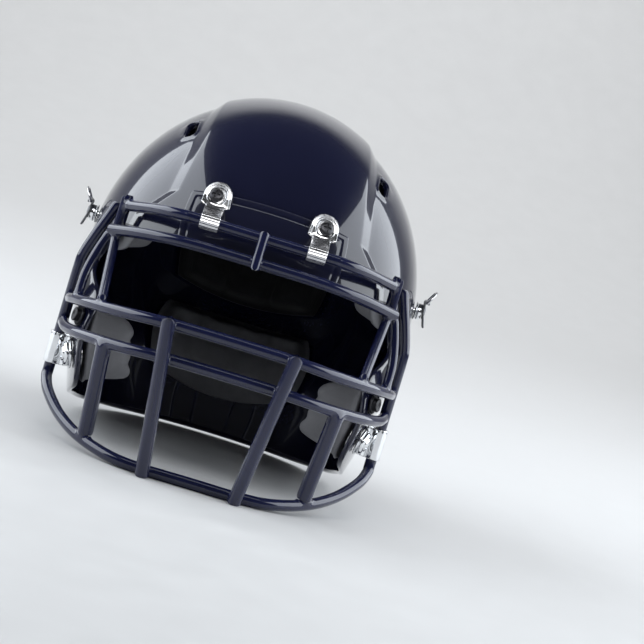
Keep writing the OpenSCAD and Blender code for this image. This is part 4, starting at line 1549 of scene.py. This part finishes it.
@dataclass
class StrapHardware(SubAssembly):
    """Snap studs, tilting buckles with wire loops, lower studs, jaw snaps and inflation valves."""

    stud: tuple[float, float] = (12 * MM, 146 * MM)
    lower: tuple[float, float] = (-80 * MM, 82 * MM)
    plate: float = 2.2 * MM
    plate_half: float = 6.5 * MM
    tilt: float = 16.0
    lean: float = 28.0
    loop_half: float = 7 * MM
    wire_r: float = 0.9 * MM
    valve_laps: tuple[float, ...] = (108, 172)
    snap_places: tuple[tuple[float, float], ...] = ((-48 * MM, 84 * MM), (-46 * MM, 50 * MM))

    def buckle(self, name: str, pivot: np.ndarray, face: float) -> bpy.types.Object:
        """Bent plate that carries the snap socket and the loop's barrel.

        Args:
            name: Name of the piece.
            pivot: Centre of the loop's barrel, on the right side.
            face: X of the plate's inner face.

        Returns:
            The buckle's plate for the right side.
        """
        y, z = self.stud
        r = 2.1 * MM - 0.6 * MM
        turn = np.radians(np.linspace(200, -40, 26))
        curl = np.column_stack([pivot[0] + r * np.cos(turn), np.full(26, y), pivot[2] + r * np.sin(turn)])
        mid = face + self.plate / 2
        down = math.radians(self.tilt)
        foot = np.array([mid + 11.5 * MM * math.sin(down), y, z + 0.5 * MM - 11.5 * MM * math.cos(down)])
        line = np.vstack([foot, [mid, y, z + 0.5 * MM], [mid, y, pivot[2] - 2.6 * MM], curl])
        line = even(filleted(line, 2.0 * MM, 6), 0.35 * MM)
        run = np.concatenate([[0], np.cumsum(np.linalg.norm(np.diff(line, axis=0), axis=1))])
        corner = np.sqrt(np.maximum(1 - (1 - np.minimum(run / (2.2 * MM), 1)) ** 2, 0))
        half = self.plate_half - 2.2 * MM * (1 - corner)
        shoulder = ease(17.0 * MM, 18.2 * MM, run)
        half = half * (1 - shoulder) + 5.4 * MM * shoulder
        width = np.tile([0.0, 1.0, 0.0], (len(line), 1))

        def relief(s: np.ndarray, w: np.ndarray) -> np.ndarray:
            """Height of the pressed shapes at a distance along and across."""
            rib = 0.35 * MM * np.exp(-((w / (1.6 * MM)) ** 2)) * (1 - ease(8 * MM, 10 * MM, s))
            return -rib

        return stamped_strip(name, line, width, half, 1.2 * MM, relief, 0.4 * MM, 30)

    def loop(self, name: str, pivot: np.ndarray) -> bpy.types.Object:
        """Wire loop that the strap goes through, on the right side."""
        turn = np.radians(np.linspace(0, 180, 25))
        h = self.loop_half
        arc = np.column_stack([np.zeros(25), h * np.cos(turn), 3 * MM + h * np.sin(turn)])
        flat = np.vstack([[0, 0.4 * MM, 0], [0, h, 0], arc, [0, -h, 0], [0, -0.4 * MM, 0]])
        lean = math.radians(self.lean)
        turned = np.column_stack([flat[:, 2] * math.sin(lean), flat[:, 1], flat[:, 2] * math.cos(lean)])
        return tube(name, even(filleted(turned + pivot, 1.2 * MM, 5), 0.5 * MM), self.wire_r, 16)

    def build(self) -> None:
        """Builds the hardware."""
        joints = {j["name"]: j for j in frame["joints"]}
        right_stud = self.dome.side_place(*self.stud)
        pivot = np.array(joints["loop_right"]["pos_m"])
        face = pivot[0] - 2.1 * MM
        reach = face - right_stud.point[0]
        for side in Side:
            mirror = side.sign
            place = Facing(right_stud.point * [mirror, 1, 1], np.array([mirror, 0.0, 0.0]))
            stud = lathe("strap_stud_" + side.value,
                         ((0, -5.2 * MM), (2 * MM, -5.2 * MM), (2 * MM, 0.7 * MM), (6.5 * MM, 0.7 * MM),
                          (6.5 * MM, 1.3 * MM), (5.6 * MM, 1.9 * MM), (2.6 * MM, 1.9 * MM),
                          (2.6 * MM, 3.7 * MM), (4 * MM, 3.7 * MM), (4 * MM, 5.1 * MM), (0, 5.1 * MM)), place)
            self.add(stud, "helmet", Finish.CHROME, *(("strap_studs",) if side is Side.LEFT else ()))
            socket = lathe("snap_socket_" + side.value,
                           ((2.65 * MM, 2.2 * MM), (5.6 * MM, 2.2 * MM), (6.1 * MM, 2.9 * MM),
                            (6.1 * MM, 3.8 * MM), (5.4 * MM, reach + 0.3 * MM), (0, reach + 0.3 * MM),
                            (0, reach - 0.3 * MM), (4.4 * MM, reach - 0.3 * MM), (4.4 * MM, 3.4 * MM),
                            (2.65 * MM, 3.4 * MM), (2.65 * MM, 2.2 * MM)), place)
            cap = lathe("snap_cap_" + side.value,
                        ((0, reach + 1.0 * MM), (4.6 * MM, reach + 1.0 * MM), (4.6 * MM, reach + 2.0 * MM),
                         (3.4 * MM, reach + 2.7 * MM), (0, reach + 2.9 * MM)), place)
            buckle = self.buckle("buckle_plate_" + side.value, pivot, face)
            loop = self.loop("buckle_wire_" + side.value, pivot)
            if side is Side.LEFT:
                buckle, loop = mirrored(buckle), mirrored(loop)
            body = "strap_buckle_" + side.value
            self.add(buckle, body, Finish.BUCKLE, "strap_buckle_" + side.value)
            self.add(socket, body, Finish.CHROME)
            self.add(cap, body, Finish.BUCKLE)
            self.add(loop, "buckle_loop_" + side.value, Finish.WIRE, "buckle_loop_" + side.value)
            lower = lathe("lower_stud_" + side.value,
                          ((0, -4 * MM), (2 * MM, -4 * MM), (2 * MM, 0.9 * MM), (6.8 * MM, 0.9 * MM),
                           (6.8 * MM, 1.7 * MM), (6.2 * MM, 2.3 * MM), (4.6 * MM, 2.3 * MM),
                           (4.6 * MM, 4.2 * MM), (5 * MM, 4.7 * MM), (4.6 * MM, 5.6 * MM),
                           (2.6 * MM, 5.7 * MM), (2.2 * MM, 5.0 * MM), (0, 5.0 * MM)),
                          self.dome.side_place(*self.lower, side))
            self.add(lower, "helmet", Finish.DARK, *(("lower_studs",) if side is Side.LEFT else ()))
            for i, spot in enumerate(self.snap_places):
                snap = lathe(f"jaw_pad_snap_{side.value}_{i + 1}",
                             ((0, -5.9 * MM), (5 * MM, -5.9 * MM), (5 * MM, -4.9 * MM), (4.2 * MM, -4.5 * MM),
                              (0, -4.5 * MM)), self.dome.side_place(*spot, side))
                first = i == 0 and side is Side.LEFT
                self.add(snap, "helmet", Finish.DARK, *(("jaw_pad_snaps",) if first else ()))
        for i, lap in enumerate(self.valve_laps):
            place = Facing(self.dome.skin(0.0, lap), self.dome.normal(0.0, lap), (1.0, 0.0, 0.0))
            valve = lathe(f"inflation_valve_{i + 1}",
                          ((0.9 * MM, -5 * MM), (3 * MM, -6 * MM), (3 * MM, 0.6 * MM), (5 * MM, 0.6 * MM),
                           (5 * MM, 1.2 * MM), (4.2 * MM, 1.8 * MM), (2.2 * MM, 1.8 * MM),
                           (1.5 * MM, 1.3 * MM), (0.9 * MM, 1.1 * MM), (0.9 * MM, -5 * MM)), place)
            self.add(valve, "helmet", Finish.RUBBER, *(("inflation_valves",) if i == 0 else ()))


# --- Studio -----------------------------------------------------------------------------------


@dataclass(frozen=True)
class PadForm:
    """A padded cushion, named after its CAD node: backing, full face and sewn channels."""

    name: str
    finish: Finish
    backing: np.ndarray
    face: np.ndarray
    across: tuple[float, ...] = ()
    along: tuple[float, ...] = ()
    fill: float = 0.7


@dataclass
class Pads(SubAssembly):
    """Liner cushions with welded rims and sewn channels, plumped by cloth simulation."""

    depth: float = 7.5 * MM
    spacing: float = 3.4 * MM
    flange: float = 3.2 * MM
    flange_thick: float = 2.2 * MM
    shoulder: float = 9 * MM
    groove: float = 2.4 * MM
    groove_depth: float = 3.2 * MM
    pressure: float = 4.0
    frames: int = 20
    cap: float = 3.5 * MM

    def grid(self, half_a: float, half_b: float) -> tuple[np.ndarray, np.ndarray]:
        """Even grid over a pad.

        Args:
            half_a: Half size across.
            half_b: Half size along.

        Returns:
            The two grid directions, each from -1 to 1.
        """
        return tuple(np.meshgrid(*(np.linspace(-1, 1, 2 * round(h / self.spacing) + 1)
                                   for h in (half_a, half_b)), indexing="ij"))

    def dome_pad(self, name: str, f: tuple[float, float], a: tuple[float, float], thick: float,
                 bow: float, finish: Finish, across: tuple[float, ...], along: tuple[float, ...]) -> PadForm:
        """Pad that follows the inside of the dome.

        Args:
            name: Name of its CAD node.
            f: Side fractions between which it lies.
            a: Lap angles between which it lies.
            thick: Thickness.
            bow: How far its edges bow in toward the corners.
            finish: Its cover.
            across: Sewn channels, as shares of its half width.
            along: Sewn channels, as shares of its half length.

        Returns:
            The pad's form.
        """
        mid_f, half_f = (f[0] + f[1]) / 2, (f[1] - f[0]) / 2
        mid_a, half_a = (a[0] + a[1]) / 2, (a[1] - a[0]) / 2
        u, v = self.grid(half_f * 118 * MM, math.radians(half_a) * 115 * MM)
        side = mid_f + 0.985 * half_f * u * np.sqrt(1 - (bow + 0.08) * v * v / 2)
        lap = mid_a + 0.985 * half_a * v * np.sqrt(1 - (bow + 0.08) * u * u / 2)
        return PadForm(name, finish, self.dome.skin(side, lap, self.depth + 0.3 * MM, 8 * MM),
                       self.dome.skin(side, lap, self.depth + thick - 0.5 * MM, 8 * MM), across, along)

    def cheek_pad(self, name: str, centre: tuple[float, float], half: tuple[float, float],
                  depth: float, thick: float, along: tuple[float, ...]) -> PadForm:
        """Block-shaped pad on the inner side of the shell.

        Args:
            name: Name of its CAD node.
            centre: Middle of it in the side view.
            half: Half sizes in the side view.
            depth: Depth of its back under the shell's outer face.
            thick: Thickness.
            along: Sewn channels, as shares of its half height.

        Returns:
            The pad's form.
        """
        u, v = self.grid(*half)
        bow_u, bow_v = np.sqrt(1 - 0.42 * v * v), np.sqrt(1 - 0.42 * u * u)
        y, z = (centre[0] + 0.98 * half[0] * u * bow_u, centre[1] + 0.98 * half[1] * v * bow_v)
        x = self.dome.side_x(y, z, depth + 0.3 * MM)
        inner = np.stack([x - thick + 0.8 * MM, centre[0] + 0.85 * (y - centre[0]),
                          centre[1] + 0.85 * (z - centre[1])], -1)
        return PadForm(name, Finish.PAD, np.stack([x, y, z], -1)[::-1], inner[::-1], (), along)

    def shaped(self, form: PadForm) -> bpy.types.Object:
        """Solid of a pad: rim, shoulder, crown and channels.

        Args:
            form: The pad's form.

        Returns:
            The pad, before it is plumped.
        """
        rows, cols = form.face.shape[:2]
        u, v = np.meshgrid(np.linspace(-1, 1, rows), np.linspace(-1, 1, cols), indexing="ij")
        size_u = np.linalg.norm(form.face[-1, cols // 2] - form.face[0, cols // 2]) / 2
        size_v = np.linalg.norm(form.face[rows // 2, -1] - form.face[rows // 2, 0]) / 2
        off_u, off_v = (1 - np.abs(u)) * size_u, (1 - np.abs(v)) * size_v
        rim = np.minimum(off_u, off_v) - self.flange
        crown = rounding(np.maximum(off_u - self.flange, 0), self.shoulder) * rounding(
            np.maximum(off_v - self.flange, 0), self.shoulder)
        full = np.linalg.norm(form.face - form.backing, axis=-1)
        low = self.flange_thick / full
        share = np.where(rim > 0, low + (1 - low) * (0.35 + 0.65 * crown) * ease(0, 2.5 * MM, rim), low)
        seam = np.zeros_like(share)
        for lines, place, size in ((form.across, u, size_u), (form.along, v, size_v)):
            for line in lines:
                seam = np.maximum(seam, np.exp(-(((place - line) * size / self.groove) ** 2)))
        sunk = self.groove_depth * (0.35 if form.finish is Finish.PAD else 1.0)
        share = np.maximum(share - seam * sunk / full * np.where(rim > 0, 1, 0), low)
        share = share * (1 - 0.05 * (u * u + v * v) * crown)
        top = form.backing + (form.face - form.backing) * share[..., None]
        piece = solid_between(form.name + "_cushion", top, form.backing)
        count = rows * cols
        pinned = np.ones(len(piece.data.vertices))
        pinned[:count] = np.where((rim < 1.0 * MM) | (seam > 0.7), 1.0, 0.0).ravel()
        group = piece.vertex_groups.new(name="sewn")
        for i in np.flatnonzero(pinned):
            group.add([int(i)], 1.0, "REPLACE")
        return piece

    def plump(self, pieces: Sequence[bpy.types.Object]) -> None:
        """Blows the cushions up against their seams, and applies the result.

        Args:
            pieces: The cushions.
        """
        before = {}
        for piece in pieces:
            co = np.empty(3 * len(piece.data.vertices))
            piece.data.vertices.foreach_get("co", co)
            before[piece.name] = co.reshape(-1, 3)
            cloth = piece.modifiers.new("plump", "CLOTH")
            cloth.settings.quality = 6
            cloth.settings.mass = 0.25
            cloth.settings.tension_stiffness = cloth.settings.compression_stiffness = 12
            cloth.settings.bending_stiffness = 0.4
            cloth.settings.use_pressure = True
            cloth.settings.uniform_pressure_force = self.pressure
            cloth.settings.shrink_min = -0.06
            cloth.settings.vertex_group_mass = "sewn"
            cloth.settings.effector_weights.gravity = 0
            cloth.collision_settings.use_collision = False
            cloth.point_cache.frame_start, cloth.point_cache.frame_end = 1, self.frames
        scene = bpy.context.scene
        for step in range(1, self.frames + 1):
            scene.frame_set(step)
        solved = {}
        graph = bpy.context.evaluated_depsgraph_get()
        for piece in pieces:
            done = piece.evaluated_get(graph).data
            co = np.empty(3 * len(done.vertices))
            done.vertices.foreach_get("co", co)
            solved[piece.name] = co.reshape(-1, 3)
        for piece in pieces:
            piece.modifiers.remove(piece.modifiers["plump"])
            move = solved[piece.name] - before[piece.name]
            far = np.linalg.norm(move, axis=1, keepdims=True)
            move *= self.cap * np.tanh(far / self.cap) / np.maximum(far, 1e-9)
            piece.data.vertices.foreach_set("co", (before[piece.name] + move).ravel())
            piece.data.update()
        scene.frame_set(1)

    def forms(self) -> list[PadForm]:
        """Lists the pads of the liner."""
        black, grey = Finish.LINER, Finish.PAD
        thirds, quarters = (-0.34, 0.34), (-0.5, 0.0, 0.5)
        forms = [
            self.dome_pad("front_pad", (-0.56, 0.56), (11, 44), 19.8 * MM, 0.3, black, quarters, (0.1,)),
            self.dome_pad("crown_pad", (-0.5, 0.5), (50, 122), 22 * MM, 0.3, black, thirds, quarters),
            self.dome_pad("back_pad", (-0.56, 0.56), (128, 194), 22 * MM, 0.3, black, thirds, quarters),
            self.dome_pad("neck_pad", (-0.56, 0.56), (199, 227), 15.4 * MM, 0.25, grey,
                          (-0.55, 0.0, 0.55), ()),
        ]
        for side in Side:
            lot = [self.dome_pad("side_pad_right", (0.62, 0.9), (42, 165), 19.8 * MM, 0.3, black, (),
                                 (-0.6, -0.2, 0.2, 0.6)),
                   self.cheek_pad("temple_pad_right", (-42 * MM, 148 * MM), (19 * MM, 19 * MM),
                                  7.5 * MM, 20 * MM, (0.0,)),
                   self.cheek_pad("jaw_pad_right", (-58 * MM, 66 * MM), (26 * MM, 31 * MM),
                                  7.2 * MM, 34 * MM, (-0.3, 0.35))]
            flip = np.array([side.sign, 1, 1])
            for form in lot:
                name = form.name.replace("right", side.value)
                backing, face = (g * flip if side is Side.RIGHT else (g * flip)[::-1]
                                 for g in (form.backing, form.face))
                forms.append(PadForm(name, form.finish, backing, face, form.across, form.along))
        return forms

    def build(self) -> None:
        """Builds, plumps and finishes the pads."""
        made = []
        for form in self.forms():
            piece = self.shaped(form)
            self.add(piece, "helmet", form.finish, form.name)
            made.append(piece)
        self.plump(made)
        for piece in made:
            smooth = piece.modifiers.new("smooth", "SUBSURF")
            smooth.levels = smooth.render_levels = 1


# --- Studio ------------------------------------------------------------------------------------


@dataclass
class Studio:
    """Pale floor, soft lights and the camera."""

    distance: float = 1.8
    eye_height: float = 0.27
    lens: float = 139.0
    roll: float = 17.0
    frame_size: float = 644.0
    seen_at: tuple[float, float] = (251.0, 279.0)
    middle: tuple[float, float, float] = (0.0, 0.025, 0.132)

    def camera(self) -> bpy.types.Object:
        """Makes the camera, which looks along +Y and leans so that the helmet leans to the right."""
        data = bpy.data.cameras.new("camera")
        data.lens = self.lens
        data.sensor_width = 36.0
        data.clip_start = 0.05
        camera = bpy.data.objects.new("camera", data)
        bpy.context.scene.collection.objects.link(camera)
        lean = math.radians(self.roll)
        right = np.array([math.cos(lean), 0.0, math.sin(lean)])
        up = np.array([-math.sin(lean), 0.0, math.cos(lean)])
        eye = np.array([0.0, self.middle[1] - self.distance, self.eye_height])
        metre = self.distance * data.sensor_width / self.lens / self.frame_size
        across = (self.frame_size / 2 - self.seen_at[0]) * metre
        down = (self.frame_size / 2 - self.seen_at[1]) * metre
        target = np.array(self.middle) + right * across - up * down
        back = unit(eye - target)
        x = unit(np.cross(up, back))
        y = np.cross(back, x)
        camera.matrix_world = Matrix([[x[0], y[0], back[0], eye[0]], [x[1], y[1], back[1], eye[1]],
                                      [x[2], y[2], back[2], eye[2]], [0, 0, 0, 1]])
        bpy.context.scene.camera = camera
        return camera

    @staticmethod
    def light(name: str, at: Sequence[float], aim: Sequence[float], size: tuple[float, float],
              watts: float, colour: Sequence[float] = (1, 1, 1), spread: float = 180.0) -> bpy.types.Object:
        """Makes a soft box.

        Args:
            name: Name of the light.
            at: Its place.
            aim: Point that it faces.
            size: Width and height.
            watts: Power.
            colour: Colour.
            spread: Angle of its beam in degrees.

        Returns:
            The light.
        """
        data = bpy.data.lights.new(name, "AREA")
        data.shape = "RECTANGLE"
        data.size, data.size_y = size
        data.energy = watts
        data.color = tuple(colour)
        data.spread = math.radians(spread)
        lamp = bpy.data.objects.new(name, data)
        bpy.context.scene.collection.objects.link(lamp)
        back = Vector(at) - Vector(aim)
        lamp.matrix_world = Matrix.Translation(Vector(at)) @ back.to_track_quat("Z", "Y").to_matrix().to_4x4()
        return lamp

    def floor(self) -> bpy.types.Object:
        """Makes the pale floor, which sweeps up into a backdrop."""
        depth = catmull([(-6, 0), (0, 0), (1.4, 0), (2.2, 0.08), (2.8, 0.45), (3.1, 1.2), (3.2, 4.0)], 10)
        across = np.linspace(-6, 6, 9)
        points = np.array([[x, y, z] for y, z in depth for x in across])
        floor = mesh_piece("floor", points, grid_faces(len(depth), len(across)))
        g = Graph("floor_paper")
        grain = g.noise(30.0, 4.0)
        g.set(Base_Color=g.mix(g.spread(grain, 0, 1), (0.61, 0.615, 0.62), (0.63, 0.635, 0.64)),
              Roughness=g.spread(grain, 0.55, 0.65))
        g.set(Normal=g.bump(g.noise(400.0, 2.0), 0.02 * MM))
        floor.data.materials.append(g.material)
        return floor

    @staticmethod
    def only_on(lamp: bpy.types.Object, pieces: Iterable[bpy.types.Object]) -> None:
        """Keeps a light's rays to some pieces, as flags and reflector cards do in a studio."""
        group = bpy.data.collections.new(lamp.name + "_receivers")
        for piece in pieces:
            group.objects.link(piece)
        lamp.light_linking.receiver_collection = group

    def build(self, pieces: list[bpy.types.Object]) -> None:
        """Builds the studio.

        Args:
            pieces: Every piece of the helmet.
        """
        self.camera()
        self.floor()
        cool = (0.90, 0.95, 1.0)
        for name, side in (("box_right", 1), ("box_left", -1)):
            self.light(name, (side * 1.3, 0.05, 0.78), (0.0, -0.05, 0.2), (1.9, 1.35), 29, cool)
        for name, at, aim, size, watts in (("box_top", (0.0, -0.5, 2.1), (0.0, 0.1, 0.1), (1.8, 1.4), 18),
                                           ("wash_back", (0.0, 1.6, 2.6), (0.0, 3.0, 0.6), (3.0, 0.8), 56)):
            self.light(name, at, aim, size, watts).visible_glossy = False
        strip = self.light("strip_top", (0.0, -0.5, 1.8), (0.0, -0.1, 0.2), (1.6, 0.16), 3.2, cool)
        self.only_on(strip, (p for p in pieces if Finish.MASK.on(p) or Finish.BUMPER.on(p)))
        card = self.light("card_front", (0.0, -1.5, 1.3), (0.0, -0.1, 0.15), (1.6, 0.9), 26)
        metals = (Finish.STEEL, Finish.CHROME, Finish.WIRE, Finish.DARK, Finish.BUCKLE)
        self.only_on(card, (p for p in pieces if any(f.on(p) for f in metals)))
        world = bpy.data.worlds.new("studio")
        world.use_nodes = True
        background = world.node_tree.nodes["Background"]
        background.inputs["Color"].default_value = (0.85, 0.88, 0.93, 1)
        background.inputs["Strength"].default_value = 0.06
        bpy.context.scene.world = world
        bpy.context.scene.view_settings.view_transform = "Standard"


def main() -> None:
    """Builds the sub-assemblies in order, then the studio."""
    logging.basicConfig(level=logging.INFO, format="%(message)s")
    shell_low, shell_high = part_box("shell")
    dome = DomeForm(half_width=(shell_high[0] - shell_low[0]) / 2)
    assemblies: list[SubAssembly] = [Shell(dome), Facemask(dome), TopClips(dome), SideClips(dome),
                                     StrapHardware(dome), Pads(dome)]
    for assembly in assemblies:
        assembly.build()
        assembly.report()
    Studio().build([piece for assembly in assemblies for piece in assembly.pieces])


if __name__ == "__main__":
    main()
